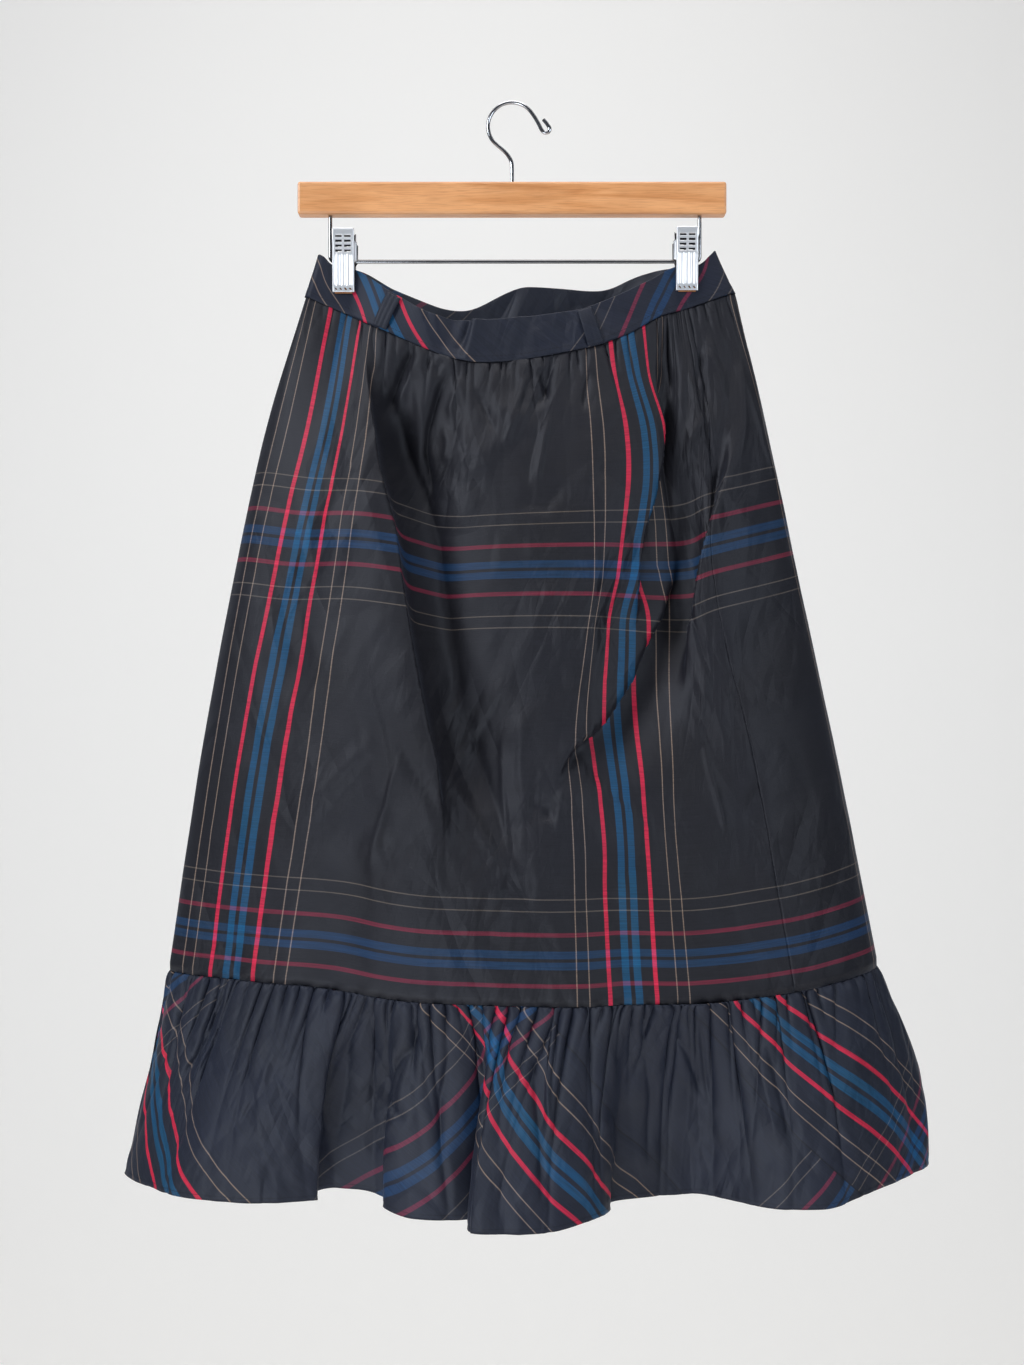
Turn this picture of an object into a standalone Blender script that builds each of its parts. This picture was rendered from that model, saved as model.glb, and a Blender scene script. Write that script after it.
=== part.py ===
"""Gathered skirt with a ruffled lower tier, clipped by its waistband to a wooden hanger.

Tables and sizes are in millimetres and the finished meshes in metres. +X is the viewer's
right, +Y points away from the viewer and +Z up. The origin is the inside top of the hook,
where the hanger hangs.

Cloth coordinates: u runs round the skirt, from the front's left warp group to the right,
and v runs down the panels from the waist seam. s runs round the flounce along its cut edge
and h down it from its gathered edge.
"""

import math

import bmesh
import bpy
import numpy as np

MM = 0.001
GAP = 0.3               # clearance between pieces that touch
SEAM_GAP = 0.6          # the same between the middles of two sewn edges that meet at an angle
CLOTH = 1.0             # wall of a single layer of cloth
BAND_CLOTH = 1.8        # wall of the band, cloth folded double
LOOP_CLOTH = 1.2        # wall of a belt loop

# Cut sizes of the cloth pieces.
PANEL_WIDTH = 680.0
PANEL_LENGTH = 560.0
FLOUNCE_CUT = 2040.0
FLOUNCE_HEIGHT = 182.0
ROUND = 2.0 * PANEL_WIDTH

# Where the panels' side seams and the flounce's joins fall round the skirt.
LEFT_EDGE = -62.0
RIGHT_EDGE = 573.0
RIGHT_SEAM = 485.0
LEFT_SEAM = RIGHT_SEAM - PANEL_WIDTH
FLOUNCE_JOIN_RIGHT = 600.0
FLOUNCE_JOIN_LEFT = FLOUNCE_JOIN_RIGHT - 0.5 * FLOUNCE_CUT

# Gathers, each a crest and a hollow.
PANEL_GATHERS = 28
FLOUNCE_GATHERS = 66
PANEL_PITCH = PANEL_WIDTH / (2 * PANEL_GATHERS)

# Sections across the panels, at these distances down the cloth.
LEVELS = (0.0, 100.0, 195.0, 380.0, 560.0)

# Vertical lines of the cloth: name, u, x at each level, y at each level.
LINES = (
    ("left edge", -62, (-171.5, -203, -225, -260, -287), (0, 2, 4, 5, 5)),
    ("left tan", -48, (-168, -193, -215, -247, -273), (-4, -11, -13, -13, -11)),
    ("left blue", 0, (-137, -151, -170, -205, -229), (-4, -26, -36, -40, -36)),
    ("left inner tan", 48, (-111, -119, -130, -154, -181), (-13, -40, -56, -64, -58)),
    ("front centre", 170, (-25, -29, -34, -52, -63), (-27, -54, -70, -86, -84)),
    ("right inner tan", 292, (60, 64, 65, 48, 51), (-24, -48, -60, -80, -84)),
    ("right blue", 340, (95, 108, 95, 89, 96), (-17, -38, -46, -72, -80)),
    ("right tan", 388, (124, 127, 131, 129, 141), (-9, -28, -38, -64, -73)),
    ("right seam", 485, (146, 163, 163, 196, 227), (-4, -24, -44, -56, -50)),
    ("right fold", 557, (181, 206, 226, 265, 300), (-4, -9, -10, -12, -10)),
    ("right edge", 573, (185.5, 210, 230, 270, 306), (0, 2, 4, 5, 5)),
    ("right turn", 600, (179, 205, 225, 264, 299), (4, 13, 17, 22, 23)),
    ("back right clip", 640, (136, 170, 190, 226, 258), (3, 19, 25, 33, 35)),
    ("back right", 700, (108, 138, 153, 182, 206), (17, 28, 33, 40, 42)),
    ("back inner right", 817, (62, 77, 88, 104, 118), (29, 36, 40, 46, 48)),
    ("back centre", 935, (8, 10, 10, 10, 10), (27, 36, 42, 48, 50)),
    ("back inner left", 1053, (-46, -58, -67, -84, -98), (32, 38, 42, 46, 48)),
    ("back left", 1165, (-98, -120, -136, -164, -188), (17, 28, 33, 40, 42)),
    ("back left clip", 1228, (-131, -158, -179, -212, -238), (3, 19, 25, 33, 35)),
    ("left turn", 1271, (-164, -198, -220, -254, -281), (4, 13, 17, 22, 23)),
)

# Heights of the same lines: at the waist seam, 195 mm down the cloth, and at the lower seam.
HEIGHT_LEVELS = (0.0, 195.0, 560.0)
HEIGHTS = (
    (-62, (-161, -359, -722)), (0, (-176, -367, -722)), (48, (-189, -370, -722)),
    (170, (-220, -389, -732)), (292, (-208, -390, -735)), (340, (-195, -390, -734)),
    (388, (-178, -389, -735)), (485, (-171, -374, -730)), (573, (-158, -353, -718)),
    (640, (-166, -358, -718)), (817, (-185, -375, -722)), (935, (-183, -378, -724)),
    (1053, (-201, -385, -724)), (1165, (-186, -372, -722)), (1228, (-168, -362, -721)),
)

# Top edge of the waistband on the same lines: u, x, y, z.
BAND_TOP = (
    (-62, -161, 0, -126), (-57, -160, -2, -126.5), (-48, -157, -2.9, -128),
    (-24, -149, -2.7, -135.5), (0, -133, -2.8, -138.5), (48, -98, -12, -161),
    (112, -62, -21, -181), (132, -47, -14, -184), (170, -26, -23, -185), (292, 51, -20, -177),
    (340, 82, -13, -165), (388, 114, -7, -149), (470, 137, -2.8, -137),
    (512, 154, -2.7, -135.5), (556, 166, -2.9, -126), (567, 168.5, -2, -123.5),
    (573, 169, 0, -123), (579, 168.5, 2, -123.5), (592, 165, 2.9, -126),
    (620, 154, 2.7, -135.5), (640, 134, 2.7, -137), (700, 112, 13, -139),
    (817, 72, 26, -150), (935, 14, 24, -147), (1053, -43, 30, -166), (1165, -98, 16, -152),
    (1228, -128, 2.7, -139), (1252, -149, 2.7, -135.5), (1276, -157, 2.9, -128),
    (1293, -160, 2, -126.5),
)

# Large folds of the panels: name, u and v of start, middle and end, half width, and depth
# towards the inside.
FOLDS = (
    ("front left valley", (48, 40), (118, 225), (205, 450), 30, 24),
    ("front right valley", (450, 50), (360, 265), (265, 450), 29, 26),
    ("right waist valley", (400, 0), (402, 80), (404, 160), 20, 8),
    ("left waist valley", (95, 0), (82, 65), (74, 130), 18, 7),
    ("centre waist valley", (140, 0), (126, 75), (116, 155), 18, 7),
    ("front hem valley", (300, 430), (330, 500), (345, 560), 26, 7),
    ("left hem valley", (95, 420), (90, 500), (85, 560), 24, 6),
    ("back valley 1", (665, 30), (672, 280), (680, 560), 30, 16),
    ("back valley 2", (780, 10), (770, 250), (752, 560), 32, 19),
    ("back valley 3", (900, 30), (880, 300), (868, 560), 36, 22),
    ("back valley 4", (985, 20), (1010, 300), (1026, 560), 34, 21),
    ("back valley 5", (1110, 30), (1120, 280), (1136, 560), 30, 18),
)

# The flounce's cut edge against the panels' lower edge: u, s.
RUFFLE = ((-62, -413), (206, 0), (450, 375), (573, 535), (900, 1022))

# Plan of the flounce's hem, along its cut edge: s, x, y.
HEM = (
    (-365, -317, 8), (-329, -296, -12), (-299, -278, -29), (-271, -253, -39),
    (-231, -210, -46), (-197, -179, -43), (-176, -157, -34), (-158, -160, -15),
    (-146, -148, -4), (-128, -124, -6), (-108, -103, -13), (-95, -106, -31),
    (-80, -91, -42), (-57, -61, -48), (-34, -36, -44), (-8, -17, -34),
    (14, -24, -47), (38, -36, -62), (56, -33, -74), (82, -9, -77), (114, 19, -75),
    (154, 54, -63), (182, 74, -50), (196, 80, -36), (212, 82, -19), (235, 105, -9),
    (262, 128, -2), (296, 152, 2), (330, 175, -12), (366, 200, -32), (394, 223, -42),
    (424, 250, -44), (460, 281, -35), (492, 308, -18), (526, 334, 2), (556, 353, 22),
    (580, 358, 42), (620, 340, 60), (672, 296, 53), (716, 270, 22), (762, 236, 14),
    (816, 200, 46), (866, 162, 63), (918, 122, 48), (962, 96, 18), (1010, 56, 15),
    (1062, 18, 46), (1112, -24, 64), (1164, -64, 46), (1208, -92, 16), (1256, -132, 16),
    (1306, -166, 46), (1356, -206, 63), (1406, -240, 48), (1450, -262, 22),
    (1494, -290, 25), (1546, -312, 52), (1598, -334, 58), (1642, -331, 30),
)
HEM_DROP = ((-317, -899), (-215, -900), (-130, -902), (-80, -913), (20, -915), (80, -909),
            (160, -908), (250, -906), (300, -896), (358, -891))

# Rows of the grids, as distances down the cloth, and half depths of the gathers there.
PANEL_ROWS = (0, 8, 25, 55, 95, 140, 190, 240, 290, 345, 405, 480, PANEL_LENGTH)
PANEL_WAVE = (0, 2.4, 3.2, 2.2, 0.9, 0, 0, 0, 0, 0, 0, 0, 0)
FLOUNCE_ROWS = (0, 6, 25, 60, 110, FLOUNCE_HEIGHT)
FLOUNCE_WAVE = (0, 2.4, 3.0, 2.0, 0.7, 0)

# Extra columns of the band and the panels at their side folds, as distances along the cloth.
FOLD_COLUMNS = (-9, -4, -2, 2, 4, 9)
BAND_END = 1.3          # the band's halves stop this far from the turn, in gathered cloth
FOLD_EASE = 60.0        # the large folds fade over this distance below the seam and at the sides
TURN_EASE = 70.0        # the gathers grow over this distance from the cloth's turn at the sides
FLAT_END = 3.0          # half gathers over which a piece's ends flatten

# The belt loops: where each one's middle is round the waist.
LOOPS = (51, 304, 790, 1080)
LOOP_WIDTH = 13.0
LOOP_BOW = 1.4          # how far a loop stands off the band at mid height
LOOP_ROWS = np.linspace(0.04, 0.97, 5)

# The hanger.
WIRE = 3.3
BAR_LENGTH = 356.0
BAR_DEPTH = 14.0
BAR_TOP = -66.0
BAR_BOTTOM = -93.0
HOOK_RADIUS = 20.0
ROD_LEFT = -151.4
ROD_RIGHT = 156.3
ROD_HEIGHT = -131.0
ROD_CORNER = 4.0
BORE_DEPTH = 10.0
HOOK_NECK = ((0, -54), (-0.3, -49), (-3, -43))
HOOK_TIP = ((19.5, -11.5), (22.6, -17), (24.8, -21.3), (27.6, -23.6), (30.4, -23.0),
            (31.4, -20.4), (29.4, -16.6), (26.2, -12.6))

# The clips: name, middle in x, top in z.
CLIPS = (("clip_left", -139.8, -106.0), ("clip_right", 145.2, -104.5))
CLIP_WIDTH = 17.4
CLIP_HEIGHT = 52.0
CLIP_SHEET = 0.9
PINCH_FRONT = 5.0       # distance of the front pads' faces from the middle plane
PINCH_BACK = 4.5
PAD = 1.3
PAD_HEIGHT = 5.0
PAD_MARGIN = 1.4        # from the jaw's side to the pad
JAW_SPREAD = 4.0        # how much further apart the jaws are at the top than at the pads
FLANGE = 1.2            # the jaws' sides turn in by this much
FLUTE = 0.7
LUG_REACH = 2.2         # distance of a jaw's lugs from the rod's axis
LUG_ABOVE = 6.0
LUG_BELOW = 1.0
LUG_SLOPE = 2.0
SPRING_RADIUS = 3.4
SLOT_COLUMN = 3.7       # from the clip's middle to the middle of a slot
SLOT_WIDTH = 5.2
SLOT_HEIGHT = 1.8
SLOT_PITCH = 4.0
SLOT_FIRST = 6.5        # from the clip's top to the middle of its first slot
SLOT_ROWS = 4
ROUND_SIDES = 12


def cubic(knots, values, places):
    """Read a smooth curve through the knots that never overshoots them."""
    x = np.asarray(knots, float)
    y = np.asarray(values, float)
    q = np.asarray(places, float)
    step = np.diff(x).reshape((-1,) + (1,) * (y.ndim - 1))
    slope = np.diff(y, axis=0) / step
    inner = slope[:-1] * slope[1:]
    total = slope[:-1] + slope[1:]
    mean = np.where(inner > 0, 2 * inner / np.where(total == 0, 1, total), 0.0)
    tangent = np.concatenate([slope[:1], mean, slope[-1:]])
    i = np.clip(np.searchsorted(x, q) - 1, 0, len(x) - 2)
    shape = (-1,) + (1,) * (y.ndim - 1)
    span = (x[i + 1] - x[i]).reshape(shape)
    t = ((q - x[i]) / (x[i + 1] - x[i])).reshape(shape)
    return ((1 + 2 * t) * (1 - t) ** 2 * y[i] + t * (1 - t) ** 2 * span * tangent[i]
            + t * t * (3 - 2 * t) * y[i + 1] + t * t * (t - 1) * span * tangent[i + 1])


def ring(knots, values, places, period):
    """The same curve round a closed loop of the given length."""
    x = np.asarray(knots, float)
    y = np.asarray(values, float)
    x = np.concatenate([x[-3:] - period, x, x[:3] + period])
    y = np.concatenate([y[-3:], y, y[:3]])
    first = x[3]
    return cubic(x, y, (np.asarray(places, float) - first) % period + first)


def around(distance):
    """The shorter way round the skirt for a distance along the panels."""
    return (distance + ROUND / 2) % ROUND - ROUND / 2


def panel_base(u, v):
    """Points of the panels without folds or gathers, one row for each v."""
    knots = [line[1] for line in LINES]
    across = ring(knots, [line[2] for line in LINES], u, ROUND)
    deep = ring(knots, [line[3] for line in LINES], u, ROUND)
    high = ring([row[0] for row in HEIGHTS], [row[1] for row in HEIGHTS], u, ROUND)
    return np.stack([cubic(LEVELS, across.T, v), cubic(LEVELS, deep.T, v),
                     cubic(HEIGHT_LEVELS, high.T, v)], axis=-1)


def inward(before, after):
    """Unit vectors to the inside of the skirt, square to the way round it."""
    way = after - before
    side = np.stack([-way[..., 1], way[..., 0], np.zeros(way.shape[:-1])], axis=-1)
    return side / np.linalg.norm(side, axis=-1, keepdims=True)


def fold_depth(u, v):
    """How far the large folds push the panels inwards at each u (columns) and v (rows)."""
    v = np.asarray(v, float)
    total = np.zeros((len(v), len(u)))
    for _, start, middle, end, half_width, depth in FOLDS:
        path = cubic([start[1], middle[1], end[1]], [start[0], middle[0], end[0]],
                     np.clip(v, start[1], end[1]))
        length = end[1] - start[1]
        along = (v - start[1]) / length
        fade_in = 1.0 if start[1] == 0 else np.clip(along * 3, 0, 1)
        fade_out = 1.0 if end[1] == PANEL_LENGTH else np.clip((1 - along) * 3, 0, 1)
        strength = depth * smooth(fade_in) * smooth(fade_out) * ((along >= 0) & (along <= 1))
        away = around(u[None, :] - path[:, None])
        total += strength[:, None] * np.exp(-(away / half_width) ** 2)
    return total


def smooth(t):
    """Ease in and out between 0 and 1."""
    return t * t * (3 - 2 * t)


def turn_distance(u):
    """Distance along the cloth to the nearer of the two side turns."""
    return np.minimum(np.abs(around(u - LEFT_EDGE)), np.abs(around(u - RIGHT_EDGE)))


def panel_points(u, v):
    """Points of the panels with their large folds."""
    u = np.asarray(u, float)
    side = inward(panel_base(u - 1, v), panel_base(u + 1, v))
    below_seam = smooth(np.clip(np.asarray(v, float) / FOLD_EASE, 0, 1))[:, None]
    from_turn = smooth(np.clip(turn_distance(u) / FOLD_EASE, 0, 1))
    depth = fold_depth(u, v) * (0.25 + 0.75 * below_seam) * from_turn
    return panel_base(u, v) + side * depth[..., None]


def gather_strength(u):
    """The gathers are shallow where the cloth turns at the sides, and uneven elsewhere."""
    uneven = 0.8 + 0.2 * np.sin(u * 18 * np.pi / ROUND) * np.cos(u * 4 * np.pi / ROUND)
    return uneven * (0.25 + 0.75 * smooth(np.clip(turn_distance(u) / TURN_EASE, 0, 1)))


def flounce_points(s, h):
    """Points of the flounce: its gathered edge on the seam, opening to the plan of the hem."""
    s = np.asarray(s, float)
    h = np.asarray(h, float)
    knots = [row[1] for row in RUFFLE]
    first = knots[0]
    turn = np.floor((s - first) / FLOUNCE_CUT)
    u = cubic(knots + [first + FLOUNCE_CUT], [row[0] for row in RUFFLE] + [LEFT_EDGE + ROUND],
              s - turn * FLOUNCE_CUT)
    seam = panel_points(u + turn * ROUND, [PANEL_LENGTH])[0]
    hem_x = ring([row[0] for row in HEM], [row[1] for row in HEM], s, FLOUNCE_CUT)
    hem_y = ring([row[0] for row in HEM], [row[2] for row in HEM], s, FLOUNCE_CUT)
    hem_z = cubic([row[0] for row in HEM_DROP], [row[1] for row in HEM_DROP],
                  np.clip(hem_x, HEM_DROP[0][0], HEM_DROP[-1][0]))
    t = (h / FLOUNCE_HEIGHT)[:, None]
    opened = 1 - (1 - t) ** 1.7
    return np.stack([seam[:, 0] + (hem_x - seam[:, 0]) * opened,
                     seam[:, 1] + (hem_y - seam[:, 1]) * opened,
                     seam[:, 2] - SEAM_GAP + (hem_z - seam[:, 2]) * t], axis=-1)


def gathered(points, before, after, wave, place, last, strength):
    """Push the cloth in and out in a zigzag, by the wave's half depth in each row.

    The place of each column is counted in half gathers, from 0 to the last. The piece's two
    ends stay flat, so that they face the next piece squarely.
    """
    zigzag = 2 * np.abs(place % 2 - 1) - 1
    from_end = np.minimum(place, last - place)
    zigzag = zigzag * np.clip(from_end / FLAT_END, 0, 1) ** 1.2
    depth = np.asarray(wave, float)[:, None] * (zigzag * strength)[None, :]
    return points + inward(before, after) * depth[..., None]


def panel_columns(start, end, end_gap):
    """Columns of the panels and the band between two places round the skirt."""
    regular = LEFT_SEAM + PANEL_PITCH * np.arange(5 * PANEL_GATHERS)    # past the left turn
    folds = [fold + step for fold in (LEFT_EDGE, RIGHT_EDGE, LEFT_EDGE + ROUND)
             for step in FOLD_COLUMNS]
    u = np.unique(np.concatenate([regular, folds]))
    inside = u[(u > start + 1) & (u < end - 1)]
    return np.concatenate([[start + end_gap], inside, [end - end_gap]])


def band_points(u, rows=(0.0, 0.5, 1.0)):
    """Points of the band from its lower edge, just above the panels, to its top edge."""
    u = np.asarray(u, float)
    lower = panel_points(u, [0.0])[0]
    knots = [row[0] for row in BAND_TOP]
    upper = ring(knots, [row[1:] for row in BAND_TOP], u, ROUND)
    rise = upper - lower
    lower = lower + rise * (SEAM_GAP / np.linalg.norm(rise, axis=-1, keepdims=True))
    t = np.asarray(rows, float)[:, None, None]
    return lower + (upper - lower) * t


def material(name, colour, roughness, metallic=0.0):
    """A plain finish."""
    finish = bpy.data.materials.new(name)
    finish.use_nodes = True
    shader = finish.node_tree.nodes["Principled BSDF"]
    shader.inputs["Base Color"].default_value = (*colour, 1.0)
    shader.inputs["Roughness"].default_value = roughness
    shader.inputs["Metallic"].default_value = metallic
    finish.diffuse_color = (*colour, 1.0)
    return finish


def add_object(name, mesh, finish, collection):
    """Place a mesh in the scene as one named piece."""
    piece = bpy.data.objects.new(name, mesh)
    mesh.materials.clear()
    mesh.materials.append(finish)
    collection.objects.link(piece)
    return piece


def finish_mesh(name, bm, smooth_angle=math.radians(40)):
    """Turn a bmesh into a mesh that is shaded smooth except at its sharp edges."""
    mesh = bpy.data.meshes.new(name)
    bm.to_mesh(mesh)
    bm.free()
    mesh.shade_smooth()
    mesh.set_sharp_from_angle(angle=smooth_angle)
    return mesh


def sheet(name, points, wall, finish, collection):
    """A wall of cloth or metal on a grid of points, given in rows from the top down."""
    rows, columns = points.shape[:2]
    bm = bmesh.new()
    bmesh.ops.create_grid(bm, x_segments=columns - 1, y_segments=rows - 1, size=0.5)
    for vert in bm.verts:
        column = round((vert.co.x + 0.5) * (columns - 1))
        row = round((0.5 - vert.co.y) * (rows - 1))
        vert.co = points[row, column] * MM
    piece = add_object(name, finish_mesh(name, bm, math.radians(70)), finish, collection)
    solid = piece.modifiers.new("wall", 'SOLIDIFY')
    solid.thickness = wall * MM
    solid.offset = 0.0
    solid.use_even_offset = True
    return piece


def box(name, low, high, finish, collection, bevel=0.0, segments=2):
    """A block between two corners, with rounded edges."""
    size = [b - a for a, b in zip(low, high)]
    bm = bmesh.new()
    bmesh.ops.create_cube(bm, size=1.0)
    bmesh.ops.scale(bm, vec=[length * MM for length in size], verts=bm.verts)
    piece = add_object(name, finish_mesh(name, bm), finish, collection)
    piece.location = [(a + b) * 0.5 * MM for a, b in zip(low, high)]
    if bevel:
        rounding = piece.modifiers.new("rounding", 'BEVEL')
        rounding.width = bevel * MM
        rounding.segments = segments
    return piece


def wire(name, route, diameter, finish, collection):
    """A round wire along a list of points."""
    curve = bpy.data.curves.new(name, 'CURVE')
    curve.dimensions = '3D'
    curve.bevel_depth = diameter * 0.5 * MM
    curve.bevel_resolution = 2
    curve.use_fill_caps = True
    spline = curve.splines.new('POLY')
    spline.points.add(len(route) - 1)
    for point, place in zip(spline.points, route):
        point.co = (*(value * MM for value in place), 1.0)
    curve.materials.append(finish)
    piece = bpy.data.objects.new(name, curve)
    collection.objects.link(piece)
    return piece


def drill(name, radius, depth, centre, collection):
    """An upright cylinder, used as a cutter."""
    bm = bmesh.new()
    bmesh.ops.create_cone(bm, cap_ends=True, segments=ROUND_SIDES, radius1=radius * MM,
                          radius2=radius * MM, depth=depth * MM)
    mesh = bpy.data.meshes.new(name)
    bm.to_mesh(mesh)
    bm.free()
    cutter = bpy.data.objects.new(name, mesh)
    cutter.location = [value * MM for value in centre]
    collection.objects.link(cutter)
    return cutter


def cut(piece, cutter):
    """Take a cutter out of a piece, and show the cutter only as a wire outline."""
    cutter.hide_render = True
    cutter.display_type = 'WIRE'
    boolean = piece.modifiers.new("cut", 'BOOLEAN')
    boolean.object = cutter
    boolean.operation = 'DIFFERENCE'


def arc(centre_x, centre_z, radius, start, end, steps):
    """Points of an arc in the plane of the hanger, with angles in degrees."""
    points = []
    for i in range(steps + 1):
        angle = math.radians(start + (end - start) * i / steps)
        points.append((centre_x + radius * math.cos(angle), 0.0,
                       centre_z + radius * math.sin(angle)))
    return points


def build_cloth(parts):
    """The band, its loops, the two panels and the two halves of the flounce."""
    taffeta = material("taffeta", (0.018, 0.021, 0.030), 0.42)
    band_cloth = material("band taffeta", (0.022, 0.024, 0.034), 0.45)

    for name, start, end in (("panel_front", LEFT_SEAM, RIGHT_SEAM),
                             ("panel_back", RIGHT_SEAM, LEFT_SEAM + ROUND)):
        u = panel_columns(start, end, GAP / 2)
        place = np.clip((u - start) / PANEL_PITCH, 0, 2 * PANEL_GATHERS)
        points = gathered(panel_points(u, PANEL_ROWS), panel_base(u - 1, PANEL_ROWS),
                          panel_base(u + 1, PANEL_ROWS), PANEL_WAVE, place,
                          2 * PANEL_GATHERS, gather_strength(u))
        sheet(name, points, CLOTH, taffeta, parts)

    for name, start, end in (
            ("flounce_front", FLOUNCE_JOIN_LEFT, FLOUNCE_JOIN_RIGHT),
            ("flounce_back", FLOUNCE_JOIN_RIGHT, FLOUNCE_JOIN_LEFT + FLOUNCE_CUT)):
        place = np.arange(2 * FLOUNCE_GATHERS + 1.0)
        s = start + place * (end - start) / (2 * FLOUNCE_GATHERS)
        s[0] += GAP / 2
        s[-1] -= GAP / 2
        points = gathered(flounce_points(s, FLOUNCE_ROWS), flounce_points(s - 1, FLOUNCE_ROWS),
                          flounce_points(s + 1, FLOUNCE_ROWS), FLOUNCE_WAVE, place,
                          2 * FLOUNCE_GATHERS,
                          0.8 + 0.2 * np.sin(s * 20 * np.pi / FLOUNCE_CUT))
        sheet(name, points, CLOTH, taffeta, parts)

    for name, start, end in (("waistband_front", LEFT_EDGE, RIGHT_EDGE),
                             ("waistband_back", RIGHT_EDGE, LEFT_EDGE + ROUND)):
        u = panel_columns(start, end, BAND_END)
        sheet(name, band_points(u)[::-1], BAND_CLOTH, band_cloth, parts)

    stand_off = BAND_CLOTH / 2 + GAP + LOOP_CLOTH / 2
    bow = LOOP_BOW * np.sin(np.pi * np.linspace(0, 1, len(LOOP_ROWS)))[:, None, None]
    for number, middle in enumerate(LOOPS, start=1):
        u = middle + LOOP_WIDTH * np.array([-0.5, 0.0, 0.5])
        on_band = band_points(u, LOOP_ROWS)
        outward = -inward(band_points(u - 1, LOOP_ROWS), band_points(u + 1, LOOP_ROWS))
        sheet("belt_loop_%d" % number, (on_band + outward * (stand_off + bow))[::-1],
              LOOP_CLOTH, band_cloth, parts)


def build_hanger(parts, cutters):
    """The wooden bar, the hook, the bent rod and the two sliding clips."""
    maple = material("maple", (0.62, 0.33, 0.13), 0.38)
    chrome = material("chrome", (0.72, 0.72, 0.73), 0.16, 1.0)
    rubber = material("clip pad", (0.42, 0.20, 0.08), 0.6)

    bar = box("hanger_bar", (-BAR_LENGTH / 2, -BAR_DEPTH / 2, BAR_BOTTOM),
              (BAR_LENGTH / 2, BAR_DEPTH / 2, BAR_TOP), maple, parts, bevel=2.0)
    bore = WIRE / 2 + GAP
    for name, x, face in (("stem_bore", 0.0, BAR_TOP), ("left_bore", ROD_LEFT, BAR_BOTTOM),
                          ("right_bore", ROD_RIGHT, BAR_BOTTOM)):
        cut(bar, drill(name, bore, 2 * BORE_DEPTH, (x, 0, face), cutters))

    stem_foot = (0, BAR_TOP - BORE_DEPTH + GAP)
    route = [(x, 0, z) for x, z in (stem_foot, *HOOK_NECK)]
    route += arc(0, WIRE / 2 - HOOK_RADIUS, HOOK_RADIUS, 215, 34, 16)
    route += [(x, 0, z) for x, z in HOOK_TIP]
    wire("hanger_hook", route, WIRE, chrome, parts)

    leg_top = BAR_BOTTOM + BORE_DEPTH - GAP
    low = ROD_HEIGHT + ROD_CORNER
    rod = [(ROD_LEFT, 0, leg_top)]
    rod += arc(ROD_LEFT + ROD_CORNER, low, ROD_CORNER, 180, 270, 5)
    rod += arc(ROD_RIGHT - ROD_CORNER, low, ROD_CORNER, 270, 360, 5)
    rod += [(ROD_RIGHT, 0, leg_top)]
    wire("hanger_rod", rod, WIRE, chrome, parts)

    for name, middle, top in CLIPS:
        build_clip(name, middle, top, chrome, rubber, parts, cutters)


def build_clip(name, middle, top, chrome, rubber, parts, cutters):
    """Two stamped jaws on the rod, with their pads and the spring between them."""
    half = CLIP_WIDTH / 2
    bottom = top - CLIP_HEIGHT
    lug_top = ROD_HEIGHT + LUG_ABOVE
    lug_foot = ROD_HEIGHT - LUG_BELOW
    heights = (top, lug_top + LUG_SLOPE, lug_top, lug_foot, lug_foot - LUG_SLOPE, bottom + 3,
               bottom)
    for side, label, pinch in ((-1, "front", PINCH_FRONT), (1, "back", PINCH_BACK)):
        plate_foot = pinch + PAD + GAP + CLIP_SHEET / 2
        ribs = 9 if label == "front" else 3
        columns = np.linspace(-half, half, ribs)
        points = []
        for height in heights:
            plate = plate_foot + JAW_SPREAD * (height - bottom) / CLIP_HEIGHT
            lug = lug_foot <= height <= lug_top
            reach = LUG_REACH + CLIP_SHEET / 2 if lug else plate - FLANGE
            row = [(-half, reach, height)]
            for i, x in enumerate(columns):
                fluted = ribs > 3 and i % 2 == 0 and bottom < height < ROD_HEIGHT
                row.append((x, plate + (FLUTE if fluted else 0.0), height))
            row.append((half, reach, height))
            points.append([(middle + x, side * y, z) for x, y, z in row])
        points = np.array(points)
        if side > 0:
            points = points[:, ::-1]
        jaw = sheet("%s_%s" % (name, label), points, CLIP_SHEET, chrome, parts)
        if label == "front":
            cut_slots(jaw, name, middle, top, cutters)
        faces = sorted((side * pinch, side * (pinch + PAD)))
        box("%s_pad_%s" % (name, label), (middle - half + PAD_MARGIN, faces[0], bottom),
            (middle + half - PAD_MARGIN, faces[1], bottom + PAD_HEIGHT), rubber, parts)

    spring = turned_sleeve("%s_spring" % name, WIRE / 2 + GAP, SPRING_RADIUS,
                           CLIP_WIDTH - CLIP_SHEET - 2 * GAP, chrome, parts)
    spring.location = (middle * MM, 0.0, ROD_HEIGHT * MM)


def cut_slots(jaw, name, middle, top, cutters):
    """Two columns of four slots through the finger grip."""
    for column, x in enumerate((middle - SLOT_COLUMN, middle + SLOT_COLUMN)):
        for row in range(SLOT_ROWS):
            z = top - SLOT_FIRST - SLOT_PITCH * row
            low = (x - SLOT_WIDTH / 2, -2 * CLIP_WIDTH, z - SLOT_HEIGHT / 2)
            high = (x + SLOT_WIDTH / 2, -PINCH_FRONT, z + SLOT_HEIGHT / 2)
            cut(jaw, box("%s_slot_%d_%d" % (name, column, row), low, high, jaw.active_material,
                         cutters))


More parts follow.
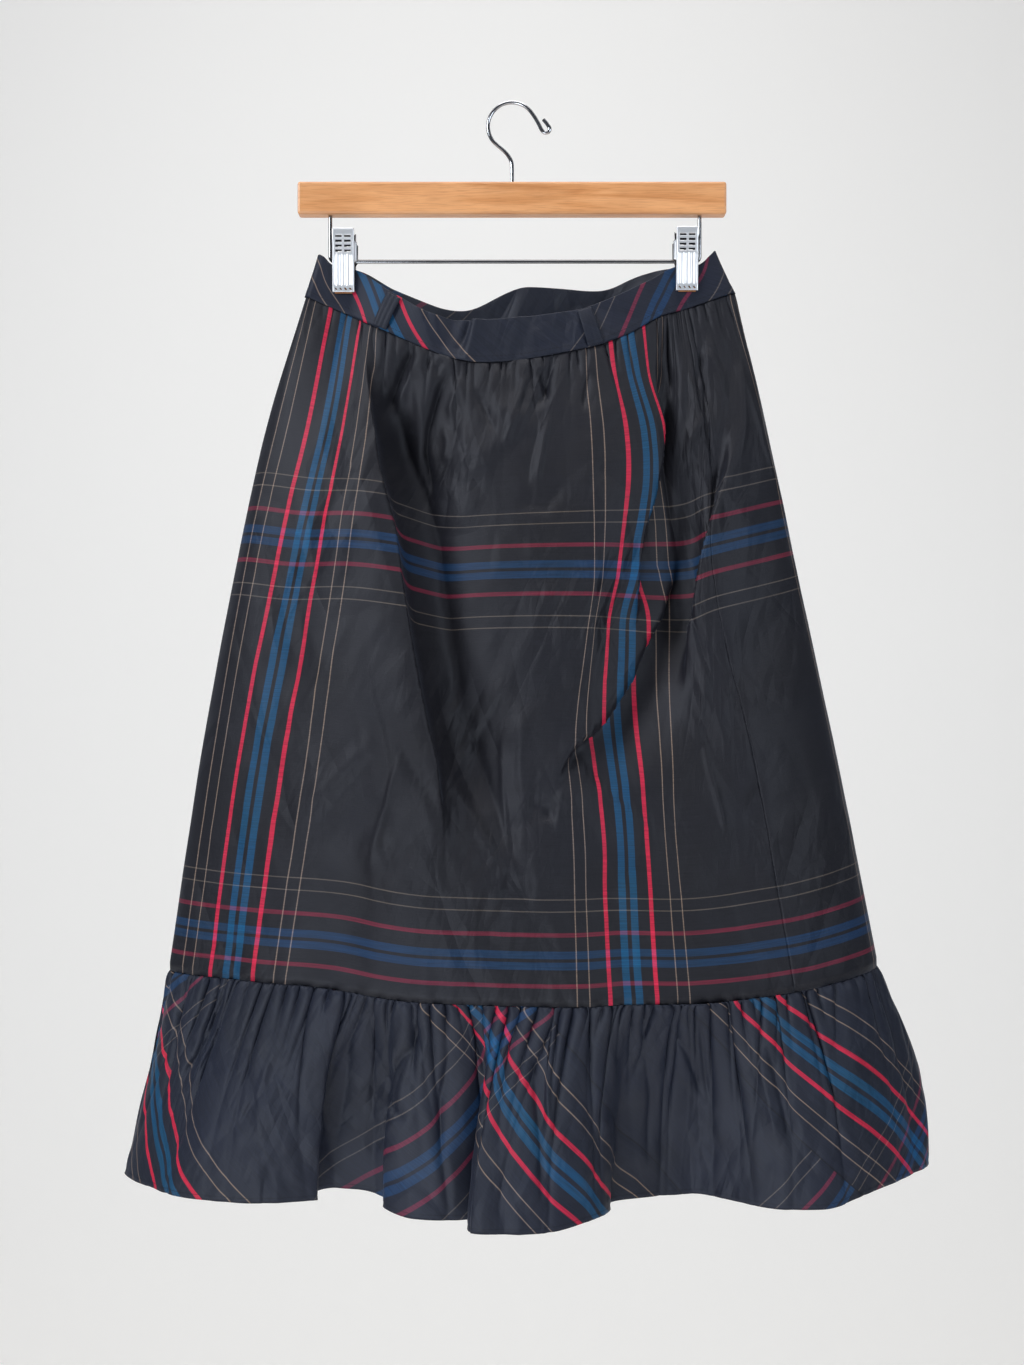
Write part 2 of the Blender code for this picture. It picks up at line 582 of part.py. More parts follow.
def turned_sleeve(name, inner, outer, length, finish, collection):
    """A sleeve along X, turned from its section."""
    bm = bmesh.new()
    corners = [(inner, -length / 2), (inner, length / 2), (outer, length / 2),
               (outer, -length / 2)]
    verts = [bm.verts.new((x * MM, radius * MM, 0.0)) for radius, x in corners]
    edges = [bm.edges.new((verts[i], verts[(i + 1) % 4])) for i in range(4)]
    bmesh.ops.spin(bm, geom=verts + edges, cent=(0, 0, 0), axis=(1, 0, 0),
                   angle=2 * math.pi, steps=ROUND_SIDES, use_merge=True)
    bmesh.ops.recalc_face_normals(bm, faces=bm.faces)
    return add_object(name, finish_mesh(name, bm), finish, collection)


def main():
    """Clear the scene and build the whole object."""
    for old in list(bpy.data.objects):
        bpy.data.objects.remove(old)
    parts = bpy.data.collections.new("tiered ruffle skirt on a clip hanger")
    cutters = bpy.data.collections.new("cutters")
    for collection in (parts, cutters):
        bpy.context.scene.collection.children.link(collection)
    build_cloth(parts)
    build_hanger(parts, cutters)


main()
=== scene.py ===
"""Finishes and cloth of a tiered ruffle skirt that hangs from a wooden clip hanger.

Tables and sizes are in millimetres and the finished meshes in metres. +X is the viewer's
right, +Y points away from the viewer and +Z up. The origin is the inside top of the hook.

Cloth coordinates: u runs round the skirt, from the front's left warp group to the right,
and v runs down the panels from the waist seam. s runs round the flounce along its cut edge
and h down it from its gathered edge. Each cloth piece carries its own flat coordinates as a
UV map, in metres, and the woven pattern is worked out from them.
"""

import math

import bmesh
import bpy
import numpy as np
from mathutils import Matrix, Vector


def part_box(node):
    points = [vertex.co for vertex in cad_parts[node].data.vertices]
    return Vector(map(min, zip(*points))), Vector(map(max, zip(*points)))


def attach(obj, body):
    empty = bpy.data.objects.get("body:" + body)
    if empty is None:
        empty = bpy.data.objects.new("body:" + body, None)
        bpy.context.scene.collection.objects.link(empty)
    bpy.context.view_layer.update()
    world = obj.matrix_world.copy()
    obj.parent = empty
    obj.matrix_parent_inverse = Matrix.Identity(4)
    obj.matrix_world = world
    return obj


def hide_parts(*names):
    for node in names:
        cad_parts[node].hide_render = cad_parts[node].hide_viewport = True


MM = 0.001

# The camera: height of the frame and focal length, in pixels.
IMAGE_HEIGHT = 1365
FOCAL_PIXELS = 1560
SENSOR = 36.0
CAMERA_PLACE = (0.0, -1.3, -0.4817)

# The stage, in metres. Its two sheets: name, place and tilt in degrees. Lamps: name, place, aim,
# size, power and colour.
STAGE_SIZE = 9.0
STAGE = (("backdrop", (0.0, 3.6, 0.0), 90), ("floor", (0.0, -0.9, -2.7), 0))
STAGE_PAINT = (0.805, 0.79, 0.77)
STAGE_GLOW = 0.305
LAMPS = (
    ("key", (-2.4, -1.9, 1.0), (0.0, 0.0, -0.5), 1.4, 68.0, (0.90, 0.95, 1.0)),
    ("fill", (2.2, -2.2, 0.1), (0.1, 0.0, -0.6), 1.2, 32.0, (0.84, 0.92, 1.0)),
    ("low", (-0.9, -2.1, -1.9), (0.0, 0.0, -0.9), 1.2, 28.0, (0.84, 0.92, 1.0)),
    ("top", (0.0, -0.4, 2.0), (0.0, 0.1, -0.5), 1.6, 26.0, (1.0, 1.0, 1.0)),
    ("wall light", (0.0, 0.6, 2.2), (0.0, 3.6, -0.6), 3.0, 44.0, (1.0, 0.99, 0.98)),
)
ROOM_IN_FRONT = (0.045, 0.051, 0.062)
ROOM_BEHIND = (0.36, 0.41, 0.50)

# Cut sizes of the cloth pieces.
PANEL_WIDTH = 680.0
PANEL_LENGTH = 560.0
FLOUNCE_CUT = 2040.0
FLOUNCE_HEIGHT = 182.0
BAND_HEIGHT = 36.0
ROUND = 2.0 * PANEL_WIDTH
CLOTH = 0.5             # wall of a single layer of cloth
BAND_CLOTH = 0.6 * CLOTH
BAND_DEPTH = 1.5        # from the outer to the inner layer of the folded band

# Where the side turns, the seams and the flounce's joins fall round the skirt.
LEFT_EDGE = -62.0
RIGHT_EDGE = 573.0
RIGHT_SEAM = 485.0
LEFT_SEAM = RIGHT_SEAM - PANEL_WIDTH
FLOUNCE_JOIN_RIGHT = 600.0
FLOUNCE_JOIN_LEFT = FLOUNCE_JOIN_RIGHT - 0.5 * FLOUNCE_CUT

# Sections across the panels, at these distances down the cloth.
LEVELS = (0.0, 100.0, 195.0, 380.0, 560.0)

# Vertical lines of the cloth: u, x at each level, y at each level.
LINES = (
    (-62, (-171.5, -203, -225, -260, -287), (0, 2, 4, 5, 5)),  # left edge
    (-48, (-168, -193, -215, -247, -273), (-4, -11, -13, -13, -11)),  # left tan
    (0, (-137, -151, -170, -205, -229), (-4, -26, -36, -40, -36)),  # left blue
    (48, (-111, -119, -130, -154, -181), (-13, -40, -56, -64, -58)),  # left inner tan
    (170, (-25, -29, -34, -52, -63), (-27, -54, -70, -86, -84)),  # front centre
    (292, (60, 64, 65, 48, 51), (-24, -48, -60, -80, -84)),  # right inner tan
    (340, (95, 108, 95, 89, 96), (-17, -38, -46, -72, -80)),  # right blue
    (388, (124, 127, 131, 129, 141), (-9, -28, -38, -64, -73)),  # right tan
    (485, (146, 163, 163, 196, 227), (-4, -24, -44, -56, -50)),  # right seam
    (557, (181, 206, 226, 265, 300), (-4, -9, -10, -12, -10)),  # right fold
    (573, (185.5, 210, 230, 270, 306), (0, 2, 4, 5, 5)),  # right edge
    (600, (179, 205, 225, 264, 299), (4, 13, 17, 22, 23)),  # right turn
    (640, (136, 170, 190, 226, 258), (3, 19, 25, 33, 35)),  # back right clip
    (700, (108, 138, 153, 182, 206), (17, 28, 33, 40, 42)),  # back right
    (817, (62, 77, 88, 104, 118), (29, 36, 40, 46, 48)),  # back inner right
    (935, (8, 10, 10, 10, 10), (27, 36, 42, 48, 50)),  # back centre
    (1053, (-46, -58, -67, -84, -98), (32, 38, 42, 46, 48)),  # back inner left
    (1165, (-98, -120, -136, -164, -188), (17, 28, 33, 40, 42)),  # back left
    (1228, (-131, -158, -179, -212, -238), (3, 19, 25, 33, 35)),  # back left clip
    (1271, (-164, -198, -220, -254, -281), (4, 13, 17, 22, 23)),  # left turn
)

# Heights of the same lines: at the waist seam, 195 mm down the cloth, and at the lower seam.
HEIGHT_LEVELS = (0.0, 195.0, 560.0)
HEIGHTS = (
    (-62, (-161, -359, -722)), (0, (-176, -367, -722)), (48, (-189, -370, -722)),
    (170, (-220, -389, -732)), (292, (-208, -390, -735)), (340, (-195, -390, -734)),
    (388, (-178, -389, -735)), (485, (-171, -374, -730)), (573, (-158, -353, -718)),
    (640, (-166, -358, -718)), (817, (-185, -375, -722)), (935, (-183, -378, -724)),
    (1053, (-201, -385, -724)), (1165, (-186, -372, -722)), (1228, (-168, -362, -721)),
)

# Top edge of the waistband on the same lines: u, x, y, z.
BAND_TOP = (
    (-62, -161, 0, -126), (-57, -160, -2, -126.5), (-48, -157, -2.9, -128),
    (-24, -149, -2.7, -135.5), (0, -133, -2.8, -138.5), (48, -98, -12, -161),
    (112, -62, -21, -181), (132, -47, -14, -184), (170, -26, -23, -185), (292, 51, -20, -177),
    (340, 82, -13, -165), (388, 114, -7, -149), (470, 137, -2.8, -137),
    (512, 154, -2.7, -135.5), (556, 166, -2.9, -126), (567, 168.5, -2, -123.5),
    (573, 169, 0, -123), (579, 168.5, 2, -123.5), (592, 165, 2.9, -126),
    (620, 154, 2.7, -135.5), (640, 134, 2.7, -137), (700, 112, 13, -139),
    (817, 72, 26, -150), (935, 14, 24, -147), (1053, -43, 30, -166), (1165, -98, 16, -152),
    (1228, -128, 2.7, -139), (1252, -149, 2.7, -135.5), (1276, -157, 2.9, -128),
    (1293, -160, 2, -126.5),
)

# The flounce's cut edge against the panels' lower edge: u, s.
RUFFLE = ((-62, -413), (206, 0), (450, 375), (573, 535), (900, 1022))

# Plan of the flounce's hem, along its cut edge: s, x, y.
HEM = (
    (-365, -317, 8), (-329, -296, -12), (-299, -278, -29), (-271, -253, -39),
    (-231, -210, -46), (-197, -179, -43), (-176, -157, -34), (-158, -160, -15),
    (-146, -148, -4), (-128, -124, -6), (-108, -103, -13), (-95, -106, -31),
    (-80, -91, -42), (-57, -61, -48), (-34, -36, -44), (-8, -17, -34),
    (14, -24, -47), (38, -36, -62), (56, -33, -74), (82, -9, -77), (114, 19, -75),
    (154, 54, -63), (182, 74, -50), (196, 80, -36), (212, 82, -19), (235, 105, -9),
    (262, 128, -2), (296, 152, 2), (330, 175, -12), (366, 200, -32), (394, 223, -42),
    (424, 250, -44), (460, 281, -35), (492, 308, -18), (526, 334, 2), (556, 353, 22),
    (580, 358, 42), (620, 340, 60), (672, 296, 53), (716, 270, 22), (762, 236, 14),
    (816, 200, 46), (866, 162, 63), (918, 122, 48), (962, 96, 18), (1010, 56, 15),
    (1062, 18, 46), (1112, -24, 64), (1164, -64, 46), (1208, -92, 16), (1256, -132, 16),
    (1306, -166, 46), (1356, -206, 63), (1406, -240, 48), (1450, -262, 22),
    (1494, -290, 25), (1546, -312, 52), (1598, -334, 58), (1642, -331, 30),
)
HEM_DROP = ((-317, -899), (-215, -900), (-130, -902), (-80, -913), (20, -915), (80, -909),
            (160, -908), (250, -906), (300, -896), (358, -891))

# Large soft folds of the panels: points (u, v), half width, depth towards the inside.
TROUGHS = (
    (((60, 60), (128, 225), (205, 430)), 34, 6),  # front left valley
    (((462, 50), (384, 265), (296, 430)), 27, 13),  # front right valley
    (((400, 0), (402, 80), (404, 160)), 20, 8),  # right waist valley
    (((95, 0), (82, 65), (74, 130)), 18, 6),  # left waist valley
    (((140, 0), (126, 75), (116, 155)), 18, 6),  # centre waist valley
    (((300, 430), (330, 500), (345, 575)), 26, 6),  # front hem valley
    (((95, 420), (90, 500), (85, 575)), 24, 5),  # left hem valley
    (((665, 30), (672, 280), (680, 575)), 30, 16),  # back valley 1
    (((780, 10), (770, 250), (752, 575)), 32, 19),  # back valley 2
    (((900, 30), (880, 300), (868, 575)), 36, 22),  # back valley 3
    (((985, 20), (1010, 300), (1026, 575)), 34, 21),  # back valley 4
    (((1110, 30), (1120, 280), (1136, 575)), 30, 18),  # back valley 5
)

# Folds where one side lies behind the other: points (u, v), depth of the step, width of its
# wall at both ends, reach of the cloth behind, slip along the cloth, drop, share of the wall
# over which the cloth slips. Walked from its first point, a route has the side that lies behind
# on its right. A negative slip or drop turns the movement round.
STEPS = (
    # left overlap
    (((30, 10), (42, 50), (54, 92), (66, 132), (90, 184), (102, 224), (116, 266), (136, 318),
      (156, 366), (170, 420), (178, 470)), 36, (18, 50), 70, 10, -10, 0.35),
    # right overlap
    (((402, 300), (420, 250), (452, 215), (482, 180), (506, 140), (516, 95)),
     12, (12, 12), 46, -7, -7, 1.0),
    # bulge edge
    (((372, 36), (360, 92), (350, 124), (342, 156), (340, 195), (350, 240)),
     11, (17, 17), 34, 19, 1, 1.0),
    # diagonal edge
    (((400, 178), (390, 202), (379, 218), (370, 236), (357, 260), (347, 288), (335, 306),
      (321, 326), (306, 336), (291, 346), (283, 360), (272, 386)),
     12, (7, 9), 34, 6, 3, 1.0),
)

# Crisp small creases: points (u, v), half width, depth (negative for a ridge).
CREASES = (
    (((97, 1), (82, 20), (72, 44), (64, 62), (58, 78)), 4.0, 7.0),
    (((104, 8), (90, 26), (80, 50), (72, 72)), 6, -3.0),
    (((145, 3), (134, 14), (124, 30), (118, 50), (112, 72), (110, 94), (116, 110), (130, 140)),
     4.6, 7.5),
    (((150, 14), (142, 30), (136, 46), (140, 60)), 7, -3.4),
    (((128, 62), (136, 78), (132, 100)), 7, -3.0),
    (((142, 34), (152, 52), (146, 66), (128, 66)), 4, 2.0),
    (((138, 92), (130, 108), (120, 112)), 4, 2.0),
    (((154, 60), (160, 84), (152, 112)), 6, -1.6),
    (((40, 6), (46, 24), (50, 46)), 4, 2.2),
    (((116, 4), (110, 12), (106, 24)), 3, 2.6),
    (((128, 3), (122, 12), (120, 24)), 3, 2.6),
    (((148, 120), (168, 104), (196, 96)), 4, -1.2),
    (((200, 70), (218, 36), (224, 12)), 3.6, -2.6),
    (((230, 48), (244, 42), (250, 24), (254, 6)), 3.6, 2.8),
    (((236, 122), (246, 74), (252, 56)), 5, -3.0),
    (((226, 126), (234, 84), (240, 60)), 4.5, 2.2),
    (((214, 132), (246, 142), (270, 116)), 7, 2.4),
    (((292, 113), (322, 116)), 2.8, 1.0),
    (((404, 2), (408, 34), (415, 66)), 4, 5.0),
    (((420, 124), (448, 100), (492, 84)), 7, -3.5),
    (((512, 28), (480, 62), (486, 96)), 4.5, -2.8),
    (((500, 28), (470, 60), (474, 92)), 4.5, 2.6),
    (((548, 36), (532, 90), (515, 140)), 6, -3.0),
    (((408, 60), (398, 100), (396, 150), (402, 190)), 5, 4.5),
    (((250, 462), (238, 434), (232, 386), (222, 340), (212, 300)), 12, 3.6),
    (((222, 296), (206, 330), (198, 356)), 5, 2.4),
    (((238, 300), (244, 350), (248, 400)), 10, -2.6),
    (((248, 396), (262, 398), (280, 403)), 8.0, 7.0),
    (((222, 461), (240, 466), (258, 466)), 9, 6.0),
    (((168, 396), (172, 430), (178, 470)), 5, 2.4),
    (((98, 350), (62, 390), (36, 425)), 6, -2.4),
    (((106, 362), (72, 402), (48, 436)), 6, 2.0),
    (((172, 415), (180, 392), (188, 412)), 4, -2.0),
    (((122, 405), (106, 428), (92, 452)), 5, -2.0),
    (((210, 512), (224, 492), (236, 474)), 5, 2.0),
    (((412, 280), (440, 310), (462, 352)), 8, -1.6),
    (((402, 296), (424, 326), (446, 368)), 8, 1.4),
    (((424, 450), (440, 432), (444, 406)), 5, 1.4),
    (((150, 470), (182, 446), (196, 420)), 5, -1.6),
    (((320, 470), (352, 440), (360, 400)), 6, 1.8),
    (((10, 240), (20, 290), (14, 340)), 7, 1.6),
    (((60, 250), (44, 300), (22, 352)), 7, -1.6),
    (((110, 346), (128, 366), (147, 387), (160, 405), (171, 425)), 4.1, 3.1),
    (((125, 358), (118, 385), (115, 409), (108, 438), (104, 462)), 4.1, -2.9),
    (((186, 311), (201, 340), (212, 367), (222, 396), (229, 422), (239, 442)), 4.6, 4.0),
    (((164, 355), (178, 373), (190, 388), (211, 423), (234, 456)), 3.8, -3.1),
    (((221, 324), (228, 360), (231, 396), (234, 439)), 4.3, -3.2),
    (((112, 432), (122, 448), (133, 462)), 3.5, 2.5),
    (((164, 24), (180, 50), (195, 73)), 4.1, 3.6),
    (((223, 41), (210, 60), (198, 84)), 4.1, -3.2),
    (((238, 10), (244, 28), (251, 44)), 3.8, 4.3),
    (((296, 19), (290, 38), (285, 56)), 4.1, 3.6),
    (((499, 20), (484, 55), (477, 91), (494, 137)), 4.3, 4.3),
    (((537, 53), (545, 84), (549, 113), (562, 170), (569, 223)), 4.6, -3.2),
    (((416, 188), (430, 240), (446, 280), (460, 314)), 4.3, 2.5),
    (((423, 341), (436, 386), (444, 436)), 4.1, -2.7),
    (((491, 385), (476, 398), (462, 413)), 4.1, 2.7),
)

# Dark creases of the flounce: points (s, h), half width, depth (negative for a ridge).
FLOUNCE_CREASES = (
    (((-392, 4), (-372, 58), (-354, 132)), 5, 4),
    (((-318, 6), (-334, 60), (-342, 100)), 5, 4),
    (((-300, 4), (-312, 50), (-318, 90)), 5, -3),
    (((-146, 40), (-144, 90), (-145, 140)), 5, 3),
    (((-72, 2), (-80, 40), (-104, 78), (-112, 92)), 5, 5),
    (((-104, 76), (-92, 92), (-76, 102)), 5, 4),
    (((-104, 92), (-108, 112), (-111, 134)), 4, 5),
    (((-84, 60), (-84, 96), (-92, 124)), 7, -3),
    (((-38, 30), (-50, 82), (-54, 140)), 5, 4),
    (((84, 20), (97, 58), (113, 112), (119, 168)), 4.5, 4),
    (((100, 20), (112, 60), (128, 120)), 6, -3),
    (((224, 4), (242, 90), (243, 168)), 5, 3),
    (((258, 4), (284, 44), (311, 106)), 5, 4),
    (((300, 10), (306, 74), (312, 104)), 4, 4),
    (((378, 34), (390, 92), (397, 130)), 4.5, 4),
    (((366, 30), (378, 88), (386, 132)), 6, -2.5),
    (((-230, 30), (-238, 90), (-228, 130)), 6, -2),
    (((-262, 60), (-240, 96), (-250, 130)), 6, 2),
    (((430, 60), (444, 110), (470, 160)), 7, -2),
)

# Gathers: pitch, range of depth, range of reach down the cloth, tuck of the cloth, seed.
PANEL_GATHERS = ((13.5, (3.0, 9.0), (8, 42), 3.0, 21), (52.0, (1.2, 3.6), (40, 130), 1.6, 22))
FLOUNCE_GATHERS = ((14.2, (5.0, 12.0), (10, 84), 2.2, 31),
                   (46.0, (3.0, 7.0), (70, 200), 5.0, 32))

# Small crumples: how many, lowest and highest middle, seed, strength.
PANEL_CRUMPLES = ((200, (-60, 30), (575, 545), 11, 0.8), (200, (600, 30), (1290, 545), 12, 1.2))
FLOUNCE_CRUMPLES = ((220, (-420, 20), (600, 175), 13, 1.2), (180, (600, 20), (1620, 175), 14, 1.2))
# Facets: lowest and highest middle, spacing, depth, seed.
PANEL_FACETS = ((-100, 0), (1320, 560), 46.0, 3.2, 41)
FLOUNCE_FACETS = ((-440, 0), (1640, 182), 34.0, 2.6, 42)
FACET_SQUEEZE = 0.55    # of the facets' spacing, down the cloth
BATCH = 8192            # places worked out at a time

# Creases across the front band: height, middle in u, lean up the band, half width.
BAND_CREASES = ((-2.2, 152, 10, 7.0), (1.2, 128, -30, 5.0), (0.9, 212, 26, 9.0),
                (-0.8, 262, -40, 12.0))

# The woven stripes of a group: offset from its middle, width, red, green and blue.
TAN, RED, BLUE = (0.25, 0.18, 0.14), (0.64, 0.012, 0.055), (0.0, 0.066, 0.155)
DIM_TAN, DIM_RED, DIM_BLUE = (0.30, 0.24, 0.19), (0.44, 0.022, 0.07), (0.004, 0.085, 0.24)
GROUND = (0.0044, 0.0044, 0.0074)
GROUND_WEFT = (0.012, 0.0105, 0.0125)
BIAS_GROUND = (0.0078, 0.0115, 0.0245)
WARP_STRIPES = ((4.9, 6.0, BLUE), (19.8, 3.3, RED), (37.4, 0.6, TAN), (48.0, 0.6, TAN))
WEFT_STRIPES = ((4.5, 6.0, DIM_BLUE), (21.0, 3.2, DIM_RED), (40.0, 0.6, DIM_TAN),
                (50.0, 0.6, DIM_TAN))
GROUP_SPAN = 60.0       # half width of a group of stripes
WARP_REPEAT = 340.0
WEFT_REPEAT = 327.0
FIRST_WEFT = 195.0      # v of the first weft group's middle
BACK_WARP = 606.0       # u of a warp group's middle on the back panel
WARP_SHARE = 0.74
SOFT_EDGE = 0.3

# The band and the flounce are cut at 45 degrees. Middles of their groups, along the edge.
BAND_BRIGHT_U = 20.0
BAND_DIM_U = 473.0
BAND_BACK_DIM = 671.0   # along the band from its left end
STITCH_DOWN = 31.0      # the row of stitches, down from the band's top edge
HEM_STITCH = 178.0      # and the one of the rolled hem, down the flounce
FLOUNCE_BRIGHT = (-962.0, -481.0, 0.0, 375.0, 1020.0)
FLOUNCE_STRIPS = ((100.0, 620.0), (285.0, 694.0), (760.0, 1330.0))  # start, its dim middle
FLOUNCE_DIM = (72.0, -390.0, -852.0)
BIAS = math.sqrt(0.5)

# The hanger.
WIRE = 3.3
WIRE_STEP = 1.2         # between the points along a wire
BAR_BOTTOM = -93.0
HOOK_RADIUS = 20.0
HOOK_NECK = ((0, -75.7), (0, -54), (-0.3, -49), (-3, -43))
HOOK_TIP = ((19.5, -11.5), (22.6, -17), (24.8, -21.3), (27.6, -23.6), (30.4, -23.0),
            (31.4, -20.4), (29.4, -16.6), (26.2, -12.6))
ROD_LEFT = -151.4
ROD_RIGHT = 156.3
ROD_HEIGHT = -131.0
ROD_CORNER = 4.0
ROD_SEAT = 9.7          # how far its legs go into the bar

# The clips: name, middle in x, top in z.
CLIPS = (("clip_left", -139.8, -106.0), ("clip_right", 145.2, -104.5))
CLIP_WIDTH = 17.4
CLIP_HEIGHT = 52.0
CLIP_SHEET = 0.8
PINCH = {"front": 5.0, "back": 4.5}
PAD = 1.3
JAW_SPREAD = 4.0
SLOT_COLUMN = 3.7
SLOT_WIDTH = 5.2
SLOT_HEIGHT = 1.7
SLOT_PITCH = 4.0
SLOT_FIRST = 6.5
SLOT_ROWS = 4
NOTCHES = (-5.9, -2.0, 2.0, 5.9)
NOTCH_RISE = 2.4        # from the jaw's lower edge to a notch's middle
NOTCH_WIDTH = 1.5
NOTCH_HEIGHT = 2.2
NOTCH_LEAN = 0.6
PAD_LIP = 0.9           # how far a pad reaches below its solid
PAD_ROUNDING = 0.35
COIL_TURNS = 7
COIL_RADIUS = 2.7
COIL_WIRE = 0.9
COIL_MARGIN = 1.3       # from its ends to the clip's sides

# The belt loops: where each one's middle is round the waist.
LOOPS = (51, 304, 790, 1080)
LOOP_WIDTH = 12.5
LOOP_SHEET = 1.0
LOOP_ROWS = 40
LOOP_GAP = 0.6          # between a loop and the band
LOOP_BOW = 1.5
LOOP_PLACES = (900, 40)  # flat place of the loops: start, and how far apart


# ---------------------------------------------------------------- finishes

def operator(kind):
    """A method that makes a math node of this kind."""
    def method(value, *others):
        return value.finish.node("ShaderNodeMath", {"operation": kind}, [value, *others])
    return method


class Value:
    """A shader value that takes part in ordinary arithmetic."""

    def __init__(self, finish, socket):
        self.finish = finish
        self.socket = socket

    def __rsub__(self, other):
        return self.finish.node("ShaderNodeMath", {"operation": 'SUBTRACT'}, [other, self])

    __add__ = __radd__ = operator('ADD')
    __sub__ = operator('SUBTRACT')
    __mul__ = __rmul__ = operator('MULTIPLY')
    __truediv__ = operator('DIVIDE')
    __mod__ = operator('FLOORED_MODULO')
    __gt__ = operator('GREATER_THAN')
    __abs__ = operator('ABSOLUTE')
    lower = operator('MINIMUM')


class Finish:
    """A material under construction: its nodes, its coordinates and its final shader."""

    def __init__(self, name, **fixed):
        self.material = bpy.data.materials.new(name)
        self.material.use_nodes = True
        self.tree = self.material.node_tree
        self.shader = self.tree.nodes["Principled BSDF"]
        self.set(**fixed)

    def link(self, value, socket):
        if isinstance(value, Value):
            self.tree.links.new(value.socket, socket)
        else:
            socket.default_value = value

    def node(self, kind, settings=(), values=(), output=0):
        """Add a node. Its values are a list for its first sockets, or a dict by name."""
        node = self.tree.nodes.new(kind)
        for name, setting in dict(settings).items():
            if name == "stops":
                self.fill_ramp(node.color_ramp, setting)
            else:
                setattr(node, name, setting)
        pairs = values.items() if isinstance(values, dict) else enumerate(values)
        for key, value in pairs:
            sockets = {s.identifier: s for s in node.inputs}
            self.link(value, node.inputs[key] if isinstance(key, int) else sockets[key])
        found = node.outputs[output] if isinstance(output, int) else next(
            s for s in node.outputs if s.identifier == output)
        return Value(self, found)

    def fill_ramp(self, ramp, stops):
        while len(ramp.elements) < len(stops):
            ramp.elements.new(1.0)
        for element, (position, colour) in zip(ramp.elements, stops):
            element.position = position
            element.color = (*colour, 1.0)

    def set(self, **sockets):
        """Set or link sockets of the Principled shader, named with underscores."""
        for name, value in sockets.items():
            self.link(value, self.shader.inputs[name.replace("_", " ")])

    def place(self, scale=(1, 1, 1)):
        """Coordinates of the piece, scaled."""
        coordinates = self.node("ShaderNodeTexCoord", output="Object")
        return self.node("ShaderNodeMapping", {}, {"Vector": coordinates, "Scale": scale})

    def stretch(self, vector, size, turn):
        """Coordinates in which a cell of this size, turned by some degrees, is one wide."""
        return self.node("ShaderNodeMapping", {"vector_type": 'TEXTURE'},
                         {"Vector": vector, "Scale": (*size, 1.0),
                          "Rotation": (0.0, 0.0, math.radians(turn))})

    def noise(self, vector, scale, detail=2.0, roughness=0.5, distortion=0.0):
        return self.node("ShaderNodeTexNoise", {},
                         {"Vector": vector, "Scale": scale, "Detail": detail,
                          "Roughness": roughness, "Distortion": distortion})

    def cells(self, vector):
        """Heights of flat-sided facets."""
        return self.node("ShaderNodeTexVoronoi", {"feature": 'DISTANCE_TO_EDGE'},
                         {"Vector": vector, "Scale": 1.0})

    def ramp(self, value, stops):
        return self.node("ShaderNodeValToRGB", {"stops": stops}, [value])

    def mix(self, factor, first, second, blend='MIX'):
        return self.node("ShaderNodeMix", {"data_type": 'RGBA', "blend_type": blend},
                         {"Factor_Float": factor, "A_Color": first, "B_Color": second},
                         output="Result_Color")

    def bump(self, height, strength, distance, before=None):
        values = {"Height": height, "Strength": strength, "Distance": distance}
        if before is not None:
            values["Normal"] = before
        return self.node("ShaderNodeBump", {}, values)


def rgba(colour):
    return (*colour, 1.0)


def stripe_stops(stripes, ground):
    """Stops of a ramp that runs outwards from the middle of a group of stripes."""
    stops = [(0.0, ground)]
    for offset, width, colour in stripes:
        inner, outer = offset - width / 2, offset + width / 2
        stops += [((inner - SOFT_EDGE) / GROUP_SPAN, ground), (inner / GROUP_SPAN, colour),
                  (outer / GROUP_SPAN, colour), ((outer + SOFT_EDGE) / GROUP_SPAN, ground)]
    return stops


